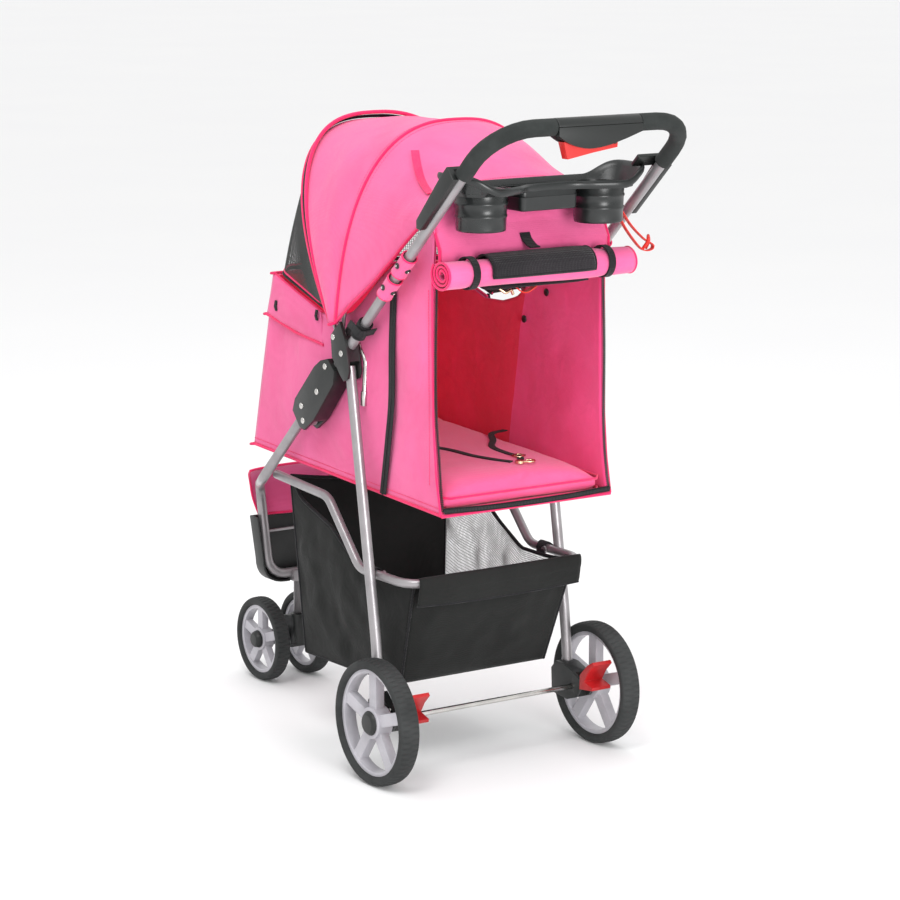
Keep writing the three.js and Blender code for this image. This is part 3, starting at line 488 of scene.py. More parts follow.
def stitches(name, lines, finish, spacing_mm=4.0, size_mm=(2.6, 0.7, 0.7)):
    return grow(name, line_seed(lines), STITCH, Spacing=spacing_mm / 1000,
                Size=tuple(v / 1000 for v in size_mm), Finish=finish)


def studs(name, spots, radius_mm, height_mm, finish):
    seed = line_seed([[point] for point, _ in spots])
    facing = seed.data.attributes.new("facing", "FLOAT_VECTOR", "POINT")
    for i, (_, way) in enumerate(spots):
        facing.data[i].vector = way
    return grow(name, seed, STUD, Radius=radius_mm / 1000, Height=height_mm / 1000, Finish=finish)


print("trees", [tree.name for tree in (STITCH, STUD, NET_TREE)])

# %% [markdown]
# ## The free straps
# Three short straps lie free: a wrist strap looped under the tray, and a leash of two straps that
# lies on the pad and ends in a snap hook. Webbing is flat, so each is a thin band that follows its
# route, and its route is the one the frame gives it.

# %% Webbing
def webbing(name, route, width_mm, thick_mm, finish, side=None):
    """A flat band along route. Side is the way its width points, or it lies flat on the floor."""
    points, faces = [], []
    for i, here in enumerate(route):
        way = (route[min(i + 1, len(route) - 1)] - route[max(i - 1, 0)]).normalized()
        wide = Vector(side) if side else way.cross(Vector((0, 0, 1))).normalized()
        thick = way.cross(wide).normalized() * thick_mm / 2000
        wide = wide * width_mm / 2000
        points += [here - wide - thick, here + wide - thick, here + wide + thick, here - wide + thick]
    for i in range(len(route) - 1):
        for k in range(4):
            faces.append((4 * i + k, 4 * i + (k + 1) % 4, 4 * i + 4 + (k + 1) % 4, 4 * i + 4 + k))
    faces += [(3, 2, 1, 0), tuple(len(points) - 4 + k for k in range(4))]
    piece = new_piece(name, points, faces, finish)
    bm = bmesh.new()
    bm.from_mesh(piece.data)
    bmesh.ops.recalc_face_normals(bm, faces=bm.faces)
    bm.to_mesh(piece.data)
    bm.free()
    piece.data.shade_flat()
    return piece


def route_length(route):
    return sum((b - a).length for a, b in zip(route, route[1:]))


FLOOR_Z = lambda y: 416 + (y + 98) / 534 * 23
PAD_CROWN = 44


def on_pad(x, y, rise=1.4):
    return at(x, y, FLOOR_Z(y) + PAD_CROWN + rise)


# %% Wrist strap
WRIST = [(150, 842), (170, 818), (196, 796), (214, 786), (211, 779), (192, 781), (166, 806), (146, 832)]
wrist_route = follow([at(x, -118 + (x - 150) * 0.1, z) for x, z in WRIST], 44)
wrist = webbing("wrist_strap_loop", wrist_route, 8, 1.5, RED_WEBBING, side=(0.1, 1, 0))
hang(wrist, "upper_frame", "crimson_fabric", "wrist_strap")
wrist_knot = tube_along("wrist_strap_stitching", follow(
    [at(195, -113, 781), at(200, -118, 792), at(205, -113, 800), at(210, -108, 791), at(203, -110, 781)], 16),
    2.4, RED_WEBBING)
hang(wrist_knot, "upper_frame", "crimson_fabric")
print("wrist strap", round(route_length(wrist_route), 3))

# %% Leash
LEASH_A = [(140, 160), (108, 150), (84, 112), (56, 74), (52, 30), (56, 4), (47, -14)]
LEASH_B = [(-30, 132), (-12, 88), (-4, 44), (10, 8), (26, -20)]


def plain_copy(name, node, angle=35, bevel_mm=0.0, segments=2):
    """A copy of a frame part with its triangles joined, smooth, and its hard edges rounded."""
    mesh = frame["nodes"][node].data.copy()
    bm = bmesh.new()
    bm.from_mesh(mesh)
    bmesh.ops.remove_doubles(bm, verts=bm.verts, dist=2e-6)
    bmesh.ops.dissolve_limit(bm, angle_limit=math.radians(1.2), verts=bm.verts, edges=bm.edges)
    bm.to_mesh(mesh)
    bm.free()
    mesh.materials.clear()
    piece = bpy.data.objects.new(name, mesh)
    bpy.context.scene.collection.objects.link(piece)
    if bevel_mm:
        modify(piece, "BEVEL", width=bevel_mm / 1000, segments=segments, limit_method="ANGLE",
               angle_limit=math.radians(angle), harden_normals=False)
        piece = settle(piece)
    piece.data.shade_smooth()
    piece.data.set_sharp_from_angle(angle=math.radians(angle))
    return piece


def dress(node, finish, slot, angle=35, bevel_mm=0.0, segments=2, name=None):
    piece = plain_copy(name or node + "_finished", node, angle, bevel_mm, segments)
    piece.data.materials.append(finish)
    return hang(piece, frame["nodes"][node]["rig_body"], slot, node)


hook = dress("leash_hook", BRASS, "plated_steel", angle=60)
buckle = tube_along("leash_buckle", [on_pad(x, y, 3.4) for x, y in
                                     [(44, 4), (58, 10), (63, -2), (49, -8)]], 1.5, BRASS, closed=True)
hang(buckle, "upper_frame", "plated_steel")
for name, spots, node, end in (("leash_long_strap", LEASH_A, "leash_strap_a", buckle),
                               ("leash_short_strap", LEASH_B, "leash_strap_b", hook)):
    route = follow([on_pad(x, y) for x, y in spots], 40)
    strap = webbing(name, route, 10, 1.6, WEBBING)
    hang(strap, "upper_frame", "webbing", node)
    print(name, round(route_length(route), 3))

# %% [markdown]
# ## Cabin
# The cabin is a cloth box, cut from flat panels and bound at the edges with hot-pink tape. Each
# panel here is a patch stretched between its four seams, pushed out a little, as cloth is by the
# board and the pad inside, with soft creases. A lining follows it on the inside. Its colour is
# painted shade: a darker crimson copy on the far half and the front wall, and a lit copy on the near half.

# %% Patches between four seams
def line_through(points, smooth=False):
    """A function from 0..1 to a point, evenly along the seam."""
    fine = even(follow(points, 60) if smooth else points, 60)

    def place(t):
        k = min(59, int(t * 60))
        return fine[k].lerp(fine[min(60, int(t * 60) + 1)], t * 60 - k)
    return place


def patch(bottom, top, rear, front):
    def place(u, v):
        edges = bottom(u) * (1 - v) + top(u) * v + rear(v) * (1 - u) + front(v) * u
        corners = (bottom(0) * (1 - u) * (1 - v) + bottom(1) * u * (1 - v)
                   + top(0) * (1 - u) * v + top(1) * u * v)
        return edges - corners
    return place


def crease(point, size_mm, depth_mm, seed=0.0):
    return noise.noise(point * (1000 / size_mm) + Vector((seed, seed * 1.7, 0))) * depth_mm / 1000


def fold(point, size_mm, depth_mm, seed=0.0):
    """Upright folds: the cloth's creases are long from top to bottom and narrow across."""
    squeezed = Vector((point.x, point.y, point.z * 0.3 + point.x * 0.25))
    ridge = abs(noise.noise(squeezed * (1000 / size_mm) + Vector((seed, 0, seed))))
    return (0.5 - ridge) * depth_mm / 1000


def swell(u, v):
    return math.sin(math.pi * u) * math.sin(math.pi * v)


REAR_EDGE = [(-97, 417), (-86, 470), (-79, 540), (-77, 620), (-76, 700), (-76, 760), (-81, 838)]
FRONT_EDGE = [(435, 440), (410, 545), (384, 652), (365, 716)]
TOP_EDGE = [(-81, 846), (-12, 800), (60, 752), (112, 708), (140, 688), (180, 676), (227, 674), (300, 696),
            (365, 716)]
BOTTOM_EDGE = [(-97, 417), (436, 439)]


def side_point(x):
    seams = [line_through([at(x, y, z) for y, z in edge]) for edge in
             (BOTTOM_EDGE, TOP_EDGE, REAR_EDGE, FRONT_EDGE)]
    return patch(*seams)


def side_panel(side, inset_mm, lively=1.0):
    flat = side_point(side * (150.5 - inset_mm))

    def place(u, v):
        here = flat(u, v)
        out = 5.5 * swell(u, v) * lively + 1.6 * math.sin(math.pi * v) * math.sin(6 * math.pi * u) * lively
        out += 1000 * (crease(here, 90, 4.5 * lively, side * 3.0) + crease(here, 32, 1.3 * lively, 5)) * min(
            1, 6 * swell(u, v))
        here.x += side * out / 1000
        return here
    return place


# %% Side panels and their lining
for side, hand in ((-1, "left"), (1, "right")):
    wall = surface(f"side_panel_{hand}", side_panel(side, 0), 72, 56, PINK)
    lining = surface(f"lining_{hand}", side_panel(side, 3.2, 0.7), 60, 44, LINING_LIT, 0.9)
    # Painted shade: the lining's far half, towards the front, takes the darker shaded copy of its colour, and the
    # near half keeps the lit copy.
    far = [p for p in lining.data.polygons if p.index < 2 * 60 * 44 and p.index % 60 >= 29]
    lining.data.materials.append(SHADED_LINING)
    for face in far:
        face.material_index = 1
    for piece in (wall, lining):
        hang(piece, "upper_frame", "pink_fabric" if piece is wall else "crimson_fabric")
    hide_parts(f"cabin_wall_{hand}")
print("side panels", len(wall.data.polygons))

# %% [markdown]
# The front wall wraps round the corners a little, and the floor is a board in the same cloth.

# %% Front wall and floor
def front_panel(inset_mm, lively=1.0):
    def place(u, v):
        x = mix(-149, 149, u)
        y, z = [mix(a, b, v / 0.77) if v < 0.77 else mix(b, c, (v - 0.77) / 0.23)
                for a, b, c in ((434, 384, 365), (440, 652, 716))]
        round_off = 9 * (abs(x) / 149) ** 10
        out = 6 * swell(u, v) * lively + 1000 * crease(Vector((x, y, z)) / 1000, 80, 4 * lively, 9) * min(
            1, 5 * swell(u, v))
        return at(x * (1 - inset_mm / 149), y - round_off - inset_mm + out, z)
    return place


front = surface("front_wall_cloth", front_panel(0), 48, 40, PINK)
# Painted shade: the front wall's lining takes the darker shaded copy of the lining colour.
front_lining = surface("front_lining", front_panel(3.4, 0.7), 40, 30, SHADED_LINING, 0.9)
board = surface("cabin_base_cloth", lambda u, v: at(mix(-149, 149, u), mix(-97, 435, v),
                FLOOR_Z(mix(-97, 435, v)) + 1.6 - 4 * swell(u, v)), 24, 40, PINK, 2.4)
hang(front, "upper_frame", "pink_fabric", "cabin_front_wall")
hang(front_lining, "upper_frame", "crimson_fabric")
hang(board, "upper_frame", "pink_fabric", "cabin_floor")

# %% [markdown]
# The pad is a foam slab in a sewn cover, so it is blown up with a short cloth simulation: inner
# pressure rounds its faces, and a cap keeps any point from moving far. Piping follows its top edge.

# %% Pad
def slab(name, x_half, y0, y1, low, high, crown, finish):
    points, faces = [], []
    across, lengthways = 26, 44
    for layer in (0, 1):
        for j in range(lengthways + 1):
            for i in range(across + 1):
                u, v = 2 * i / across - 1, j / lengthways
                y = mix(y0, y1, v)
                edge = (1 - abs(u) ** 6) * (1 - abs(2 * v - 1) ** 10)
                z = FLOOR_Z(y) + (mix(high, crown, edge) if layer else low)
                points.append(at(u * x_half, y, z))
    row, sheet_size = across + 1, (across + 1) * (lengthways + 1)
    faces += [tuple(reversed(f)) for f in grid_faces(across, lengthways)]
    faces += [tuple(sheet_size + k for k in f) for f in grid_faces(across, lengthways)]
    rim = ([i for i in range(row)] + [j * row + across for j in range(1, lengthways + 1)]
           + [lengthways * row + i for i in range(across - 1, -1, -1)]
           + [j * row for j in range(lengthways - 1, 0, -1)])
    for a, b in zip(rim, rim[1:] + rim[:1]):
        faces.append((a, b, sheet_size + b, sheet_size + a))
    return new_piece(name, points, faces, finish)


def inflate(piece, pressure=4.0, cap_mm=9.0, voxel_mm=5.0):
    modify(piece, "REMESH", mode="VOXEL", voxel_size=voxel_mm / 1000)
    piece = settle(piece)
    before = [v.co.copy() for v in piece.data.vertices]
    cloth = modify(piece, "CLOTH")
    cloth.settings.use_pressure = True
    cloth.settings.uniform_pressure_force = pressure
    cloth.settings.effector_weights.gravity = 0
    cloth.settings.quality = 5
    for frame_number in range(1, 21):
        bpy.context.scene.frame_set(frame_number)
    graph = bpy.context.evaluated_depsgraph_get()
    after = piece.evaluated_get(graph).data
    moved = [v.co.copy() for v in after.vertices]
    piece.modifiers.clear()
    cap = cap_mm / 1000
    for vertex, old, new in zip(piece.data.vertices, before, moved):
        shift = new - old
        vertex.co = old + (shift if shift.length <= cap else shift.normalized() * cap)
    bpy.context.scene.frame_set(1)
    return piece


pad = slab("cabin_pad_cushion", 141, -89, 422, 5, 20, 38, PAD_CLOTH)
pad = inflate(pad, 4.0, 7.0)
for vertex in pad.data.vertices:
    y_mm = vertex.co.y * 1000 - REAR_AXLE_Y
    vertex.co.z = min(vertex.co.z, (FLOOR_Z(y_mm) + PAD_CROWN + 0.4) / 1000)
    vertex.co.z = max(vertex.co.z, (FLOOR_Z(y_mm) + 3.6) / 1000)
    vertex.co.z += crease(vertex.co, 60, 0.8, 2) * (vertex.co.z * 1000 > FLOOR_Z(y_mm) + 20)
modify(pad, "SUBSURF", levels=1, render_levels=1)
pad = settle(pad)
pad.data.shade_smooth()
hang(pad, "upper_frame", "crimson_fabric", "cabin_pad")
print("pad faces", len(pad.data.polygons))


def pad_edge(rise, out=0.0):
    x, y0, y1 = 143 + out, -91 - out, 424
    corners = [(-x, y1), (-x, y0 + 10), (-x + 10, y0), (x - 10, y0), (x, y0 + 10), (x, y1)]
    return [at(a, b, FLOOR_Z(b) + rise) for a, b in corners]


piping_pad = join_pieces("pad_piping", [
    tube_along("pad_top_piping", even(pad_edge(23), 60), 2.0, HOT_PINK),
    tube_along("pad_low_piping", even(pad_edge(6), 60), 1.8, HOT_PINK)])
hang(piping_pad, "upper_frame", "pink_fabric")

# %% [markdown]
# Bound edges: a round cord in hot-pink tape runs along the bottom seam, the collar and the rim.
# The rear door's zip is black, and its teeth go all round the doorway.

# %% Bindings of the cabin
def side_line(points, x, steps=40):
    return even([at(x, y, z) for y, z in points], steps)


bindings = []
COLLAR_LOW = [(216, 625), (298, 634), (384, 652)]
COLLAR_TOP = [(227, 674), (300, 696), (366, 718)]
for side in (-1, 1):
    bindings.append(tube_along("b", side_line(BOTTOM_EDGE, side * 151.5), 2.4, HOT_PINK))
    bindings.append(tube_along("b", side_line(COLLAR_LOW, side * 155.2), 2.4, HOT_PINK))
    bindings.append(tube_along("b", side_line(COLLAR_TOP, side * 151.6), 2.0, HOT_PINK))
    bindings.append(tube_along("b", side_line(REAR_EDGE[:-1], side * 152.4), 1.6, HOT_PINK))
    bindings.append(tube_along("b", side_line([(-90, 748), (-90, 800), (-74, 832)], side * 149), 2.6, HOT_PINK))
for y, z, bow in ((436, 439, 4), (389, 652, 3), (366, 718, 0)):
    bindings.append(tube_along("b", follow([at(-152, y - 5, z), at(-146, y, z), at(0, y + bow, z),
                                            at(146, y, z), at(152, y - 5, z)], 40), 2.2, HOT_PINK))
bindings.append(tube_along("b", even([at(-151, -98, 416), at(151, -98, 416)], 12), 2.6, HOT_PINK))
binding = join_pieces("cabin_bindings", bindings)
hang(binding, "upper_frame", "pink_fabric")


# %% Zips
def zip_along(name, routes, side, width_mm=11):
    parts = [webbing("t", route, width_mm, 1.0, WEBBING, side=side) for route in routes]
    teeth = stitches(name + "_teeth", routes, ZIP, 2.6, (1.5, 4.2, 2.2))
    teeth.data.materials.clear()
    teeth.data.materials.append(ZIP)
    return join_pieces(name, parts + [teeth])


STRIP = [(21, 731), (21.5, 650), (22, 569), (33, 508), (53, 424)]
DOOR = [(-80, 742), (-81, 640), (-82, 560), (-86, 500), (-94, 440), (-99, 424)]
side_zips, door_zips = [], []
for side in (-1, 1):
    strip_x = lambda y, z: side * (154.5 + 4.6 * math.sin(math.pi * min(1, max(0, (z - 420) / 330))))
    route = follow([at(strip_x(y, z), y, z) for y, z in STRIP], 60)
    side_zips.append(route)
    door_zips.append(follow([at(side * (149 - 1.5 * math.sin((z - 420) / 40)), y, z) for y, z in DOOR], 60))
strips = zip_along("side_zip_strips", side_zips, (0, 1, 0), 16)
hang(strips, "upper_frame", "webbing")
bottom_route = follow([at(-148, -100, 424), at(-60, -101, 421), at(60, -101, 421), at(148, -100, 424)], 50)
door = zip_along("doorway_zip", door_zips + [bottom_route], (0, 0.3, 1), 8)
hang(door, "upper_frame", "webbing")

# %% Collar band, its tabs and topstitching
bands = []
for side in (-1, 1):
    low = line_through([at(side * 152.8, y, z) for y, z in COLLAR_LOW])
    top = line_through([at(side * 150.9, y, z) for y, z in COLLAR_TOP])
    bands.append(surface("c", lambda u, v: low(u).lerp(top(u), v) + Vector(
        (side * (0.002 + 0.0035 * swell(u, v) + crease(low(u).lerp(top(u), v), 40, 1.2)), 0, 0)), 30, 10, PINK))
bands.append(surface("c", lambda u, v: at(mix(-152, 152, u), mix(387, 368, v) + 3 * swell(u, v), mix(652, 717, v)),
                     40, 10, PINK))
# Painted shade: a cord along the inside of each front edge takes the darker shaded lining copy.
for side in (-1, 1):
    bands.append(tube_along("c", even([at(side * 146, y - 6, z) for y, z in FRONT_EDGE], 30), 3.2, SHADED_LINING))
band = join_pieces("collar_band", bands)
hang(band, "upper_frame", "pink_fabric")
tabs = []
for side in (-1, 1):
    for y, z in ((352, 668), (232, 668)):
        tabs.append(webbing("t", [at(side * 157, y, z - 7), at(side * 159, y, z), at(side * 157, y, z + 9)],
                            6, 1.8, WEBBING, side=(0, 1, 0)))
tab = join_pieces("collar_tabs", tabs)
hang(tab, "upper_frame", "webbing")
seam_lines = []
for side in (-1, 1):
    seam_lines.append(side_line([(-92, 427), (430, 449)], side * 152.2, 80))
    seam_lines.append(side_line([(-70, 460), (-68, 740)], side * 153.6, 60))
seams = stitches("cabin_topstitching", seam_lines, HOT_PINK, 4.2, (2.8, 0.7, 0.7))
hang(seams, "upper_frame", "pink_fabric")
lining_dots = studs("lining_snaps", [(at(145, 118, 652), (-1, 0, 0)), (at(145, 60, 700), (-1, 0, 0)),
                                     (at(-145, 118, 652), (1, 0, 0)), (at(-145, 60, 700), (1, 0, 0))],
                    6, 2.2, ABS)
hang(lining_dots, "upper_frame", "black_plastic")
print("cabin done")

# %% [markdown]
# ## Rear header and the rolled door
# Above the doorway a cloth header runs up under the tray. The door's flap is rolled on itself and
# held by two elastic bands; its middle is net, so the roll shows black there.

# %% Header
CANOPY_PIVOT = (140, 650)
SQUARENESS = 2.6
BACK_TOP = (-62, 886)


def hoop(u, half, foot, top):
    """A point on half of a squared ellipse that stands across the stroller."""
    turn = math.pi * (1 - u)
    x = math.copysign(abs(math.cos(turn)) ** (2 / SQUARENESS), math.cos(turn)) * half
    rise = abs(math.sin(turn)) ** (2 / SQUARENESS)
    return at(x, mix(foot[0], top[0], rise), mix(foot[1], top[1], rise))


def leaning(lean, height):
    return CANOPY_PIVOT[0] + height * math.cos(lean), CANOPY_PIVOT[1] + height * math.sin(lean)


def header_place(u, v):
    x = (2 * u - 1) * 148
    rise = (1 - min(1, abs(x / 160)) ** SQUARENESS) ** (1 / SQUARENESS)
    top = mix(along(0, 24)[1], BACK_TOP[1], rise) - 8
    rows = [(-90, 744), (-90, 802), (-74, 832), (-70, top)]
    k = min(2, int(v * 3))
    y, z = mix(rows[k][0], rows[k + 1][0], v * 3 - k), mix(rows[k][1], rows[k + 1][1], v * 3 - k)
    here = at(x, y, z)
    here.y -= 0.004 * swell(u, v) + crease(here, 55, 3.0, 4) * swell(u, v)
    return here


header = surface("rear_header_cloth", header_place, 48, 24, PINK)
hang(header, "upper_frame", "pink_fabric", "rear_header")

# %% Rolled door
ROLL_Y, ROLL_Z, ROLL_HALF = -118, 769, 165


def roll_place(u, v):
    """u runs along the roll and v winds the cloth from its middle out."""
    turns = v * 3.1 * 2 * math.pi
    radius = mix(5.5, 23.6, v) + 0.9 * math.sin(turns * 2.1 + u * 5)
    x = mix(-ROLL_HALF, ROLL_HALF, u)
    radius *= 1 + 0.035 * math.sin(9 * u + 1.3) - 0.09 * math.exp(-((abs(x) - 118) / 7) ** 2)
    return at(x * (1 - 0.012 * (1 - v)), ROLL_Y + radius * math.cos(turns),
              ROLL_Z + radius * math.sin(turns) * 0.96)


roll = surface("door_roll_cloth", roll_place, 44, 110, PINK, 1.6)
edges = [tube_along("e", column_of(roll_place, end, 110), 1.9, HOT_PINK) for end in (0.0, 1.0)]


def net_place(u, v):
    angle = mix(math.radians(-100), math.radians(200), v)
    x = mix(-92, 88, u)
    shrink = 1 - 0.05 * (abs(2 * u - 1)) ** 8
    return at(x, ROLL_Y + 26.6 * shrink * math.cos(angle), ROLL_Z + 25.4 * shrink * math.sin(angle))


net_patch = surface("n", net_place, 40, 40, ROLL_NET, 1.0)
net_border = (row_of(net_place, 0.02, 20) + column_of(net_place, 1, 20)
              + [net_place(1 - k / 20, 0.98) for k in range(21)]
              + [net_place(0, 1 - k / 20) for k in range(21)])
net_rim = tube_along("n", even(net_border, 120), 1.5, WEBBING)
bands = []
for x in (-119, 119):
    ring = [at(x, ROLL_Y + 23.4 * math.cos(a), ROLL_Z + 22.8 * math.sin(a))
            for a in (2 * math.pi * k / 40 for k in range(41))]
    bands.append(webbing("b", ring, 11, 2.0, WEBBING, side=(1, 0, 0)))
tab_points = [at(-1, -89, 816), at(-1, -94, 808), at(-1, -106, 800), at(-1, -116, 797.5)]
bands.append(webbing("b", follow(tab_points, 16), 17, 2.0, WEBBING, side=(1, 0, 0)))
clip_route = [at(-58, -108, 741), at(-50, -112, 735), at(-40, -110, 738), at(-33, -106, 731)]
clip = tube_along("c", follow(clip_route, 14), 2.2, BRASS)
strap_route = [at(-30, -108, 741), at(-18, -112, 733), at(-2, -110, 738), at(8, -106, 744)]
clip_strap = webbing("c", follow(strap_route, 16), 9, 1.8, RED_WEBBING)
net_threads = stitches("n", [row_of(net_place, v, 60) for v in (0.07, 0.93)], WEBBING, 3.4, (2.2, 0.8, 0.8))
roll = join_pieces("rolled_door", [roll, *edges, net_patch, net_rim, *bands, clip, clip_strap, net_threads])
hang(roll, "upper_frame", "pink_fabric", "door_roll")
print("rolled door", len(roll.data.polygons), "faces")

# %% [markdown]
# ## Canopy
# Two hoops lean out of one pivot, like the ribs of a fan. One sheet is stretched from the cabin's
# back to the rear hoop and another over to the front hoop, and each swells between its ribs.
# Cloth between two ribs bends across the joint, but here each sheet, with its bindings and
# stitches, stays where it is made and is tied to no body.

# %% Canopy sheets
MID_LEAN, MID_HEIGHT = math.radians(99), 310
FRONT_LEAN, FRONT_HEIGHT = math.radians(58.5), 348
SKIN = 9


def rear_canopy(u, v):
    back, ahead = along(-2, 24), leaning(MID_LEAN, 22)
    foot = (mix(back[0], ahead[0], v), mix(back[1], ahead[1], v))
    peak = leaning(MID_LEAN, MID_HEIGHT + SKIN)
    dip = 7 * math.sin(math.pi * v) - 3.5 * math.sin(2 * math.pi * v)
    top = (mix(BACK_TOP[0], peak[0], v), mix(BACK_TOP[1], peak[1], v) + dip)
    here = hoop(u, mix(160, TUBE_X + SKIN, v), foot, top)
    loose = math.sin(math.pi * v)
    here += Vector((0, 0.3, 1)) * crease(here, 120, 9, 1) * loose
    return here + Vector((0, 0, 1)) * crease(here, 40, 2.4, 6) * loose


def front_canopy(u, v):
    rear = hoop(u, TUBE_X + SKIN, leaning(MID_LEAN, 22), leaning(MID_LEAN, MID_HEIGHT + SKIN))
    ahead = FRONT_LEAN - 0.02
    front = hoop(u, TUBE_X + SKIN, leaning(ahead, 22), leaning(ahead, FRONT_HEIGHT + SKIN))
    here = rear.lerp(front, v)
    out = (here - at(0, *leaning(0.5 * (MID_LEAN + ahead), 60))).normalized()
    loose = math.sin(math.pi * v)
    full = 0.003 + 0.006 * abs(2 * u - 1) ** 2 * (1 - abs(2 * u - 1) ** 8)
    return here + out * (full + crease(here, 110, 8, 7) + crease(here, 36, 2.2, 8)) * loose


def blended(piece, a, b, start, end, slot, *nodes):
    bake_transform(piece)
    if nodes:
        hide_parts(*nodes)


rear_sheet = surface("canopy_rear_sheet", rear_canopy, 96, 40, PINK)
front_sheet = surface("canopy_front_sheet", front_canopy, 96, 48, PINK)
rear_start, rear_end = at(0, -60, 850), at(0, *leaning(MID_LEAN, 230))
front_start, front_end = at(0, *leaning(MID_LEAN, 260)), at(0, *leaning(FRONT_LEAN, 300))

# %% Canopy piping, binding and the front zip
def arch(lean, height, half, foot=22, steps=90):
    return even([hoop(k / 60, half, leaning(lean, foot), leaning(lean, height)) for k in range(61)], steps)


mid_trim = join_pieces("canopy_rib_piping", [
    tube_along("m", arch(MID_LEAN, MID_HEIGHT + SKIN + 1.6, TUBE_X + SKIN + 1.4), 2.6, HOT_PINK)])
hang(mid_trim, "canopy_mid", "pink_fabric")
front_trim_lines = [arch(FRONT_LEAN + 0.035, FRONT_HEIGHT + SKIN + 1.5, TUBE_X + SKIN + 1.5),
                    arch(FRONT_LEAN - 0.030, FRONT_HEIGHT + SKIN - 2, TUBE_X + SKIN + 0.5)]
zip_line = arch(FRONT_LEAN + 0.002, FRONT_HEIGHT + SKIN + 0.6, TUBE_X + SKIN + 1.4)
front_zip = zip_along("fz", [zip_line], (0, math.sin(FRONT_LEAN), -math.cos(FRONT_LEAN)), 9)
front_trim = join_pieces("canopy_front_trim", [
    *[tube_along("f", line, 3.2, HOT_PINK) for line in front_trim_lines], front_zip])
hang(front_trim, "canopy_front", "pink_fabric")


def lower_edge(place, side, steps=30):
    return even(column_of(place, 0.0 if side < 0 else 1.0, steps), steps)


rear_binding = join_pieces("canopy_rear_binding", [
    tube_along("r", even(row_of(rear_canopy, 0, 60), 80), 2.4, HOT_PINK),
    *[tube_along("r", lower_edge(rear_canopy, side), 2.6, HOT_PINK) for side in (-1, 1)]])
front_binding = join_pieces("canopy_front_binding", [
    tube_along("r", lower_edge(front_canopy, side), 2.4, HOT_PINK) for side in (-1, 1)])
ribbon_line = [rear_canopy(u, v) + Vector((-0.002, -0.001, 0.0016)) for u, v in
              [(mix(0.345, 0.215, k / 20), mix(0.72, 0.12, k / 20)) for k in range(21)]]
ribbon = webbing("canopy_ribbon", even(ribbon_line, 40), 12, 1.0, HOT_PINK)


def canopy_stitches(name, place, rows):
    lift = Vector((0, 0, 0.0008))
    lines = [even([p + lift for p in row_of(place, v, 60)], 200) for v in rows]
    return stitches(name, lines, HOT_PINK, 4.4, (2.8, 0.7, 0.7))


seam_rear = canopy_stitches("canopy_rear_stitches", rear_canopy, (0.07, 0.945))
seam_front = canopy_stitches("canopy_front_stitches", front_canopy, (0.05, 0.93))
rear_extra = join_pieces("canopy_rear_details", [rear_binding, ribbon, seam_rear])
front_extra = join_pieces("canopy_front_details", [front_binding, seam_front])
for piece in (rear_sheet, rear_extra):
    blended(piece, "upper_frame", "canopy_mid", rear_start, rear_end, "pink_fabric")
for piece in (front_sheet, front_extra):
    blended(piece, "canopy_mid", "canopy_front", front_start, front_end, "pink_fabric")
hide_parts("canopy_rear_panel")
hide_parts("canopy_front_panel")

# %% [markdown]
# **Window.** The front opening is closed by net, from the front hoop down to the cabin's rim. Real
# threads cross every millimetre; here every third one is made, as thin three-sided strands, so that
# the light and the cabin show through.

# %% Window net
RIM_Y, RIM_Z = 365, 721


def rim_point(u):
    corners = [at(-151, 214, 680), at(-151, RIM_Y - 24, RIM_Z - 4), at(-130, RIM_Y, RIM_Z),
               at(130, RIM_Y, RIM_Z), at(151, RIM_Y - 24, RIM_Z - 4), at(151, 214, 680)]
    return line_through(corners)(u)


def window_place(u, v):
    lean = FRONT_LEAN - 0.03
    high = hoop(u, TUBE_X + 2, leaning(lean, 50), leaning(lean, FRONT_HEIGHT + 2))
    here = high.lerp(rim_point(u), v)
    return here + Vector((0, 0.006, 0.002)) * swell(u, v)


def net_piece(name, place, across, lengthways, thread_mm, finish):
    points = [place(i / across, j / lengthways) for j in range(lengthways + 1) for i in range(across + 1)]
    seed = new_piece("net_seed", points, grid_faces(across, lengthways), finish)
    return grow(name, seed, NET_TREE, Thread=thread_mm / 1000, Finish=finish)


window = net_piece("window_net", window_place, 170, 76, 0.46, NET)
window_edge = join_pieces("window_edge", [
    tube_along("w", even(row_of(window_place, 0.985, 80), 100), 3.0, WEBBING),
    tube_along("w", even(row_of(window_place, 0.96, 80), 100), 1.8, HOT_PINK)])
hang(window, "canopy_front", "window_mesh", "front_window")
hang(window_edge, "canopy_front", "webbing")
print("window net", len(window.data.polygons))

# %% [markdown]
# ## Basket
# An open bag in heavy black cloth hangs in the lower frame. Its left side is cloth, its right side
# is net, and a wide band folds over the tube at the back. It sags between its corners.

# %% Basket panels
foot_rear, foot_front = (42, 134), (318, 122)


def upright(side, low, high, x_low, x_high):
    return [at(side * mix(x_low, x_high, t), mix(low[0], high[0], t), mix(low[1], high[1], t)) for t in (0, 0.5, 1)]


def basket_side(side):
    top = [(-14, 296), (60, 292), (122, 292), (180, 322), (214, 344), (300, 372), (332, 404)]
    seams = ([at(side * 131, y, z) for y, z in (foot_rear, (180, 125), foot_front)],
             [at(side * 144, y, z) for y, z in top],
             upright(side, foot_rear, (-14, 296), 131, 144), upright(side, foot_front, (332, 404), 129, 146))
    flat = patch(*[line_through(seam) for seam in seams])

    def place(u, v):
        here = flat(u, v)
        loose = min(1, 4 * swell(u, v))
        here.x += side * (0.007 * swell(u, v) + (crease(here, 70, 7, side) + crease(here, 28, 3, 2)) * loose)
        return here
    return place


def basket_front(u, v):
    x = mix(-1, 1, u) * mix(130, 146, v)
    y, z = mix(foot_front[0], 332, v), mix(foot_front[1], 404 - 16 * math.sin(math.pi * u), v)
    here = at(x, y, z)
    here.y += 0.008 * swell(u, v) + crease(here, 80, 5, 12) * min(1, 4 * swell(u, v))
    return here


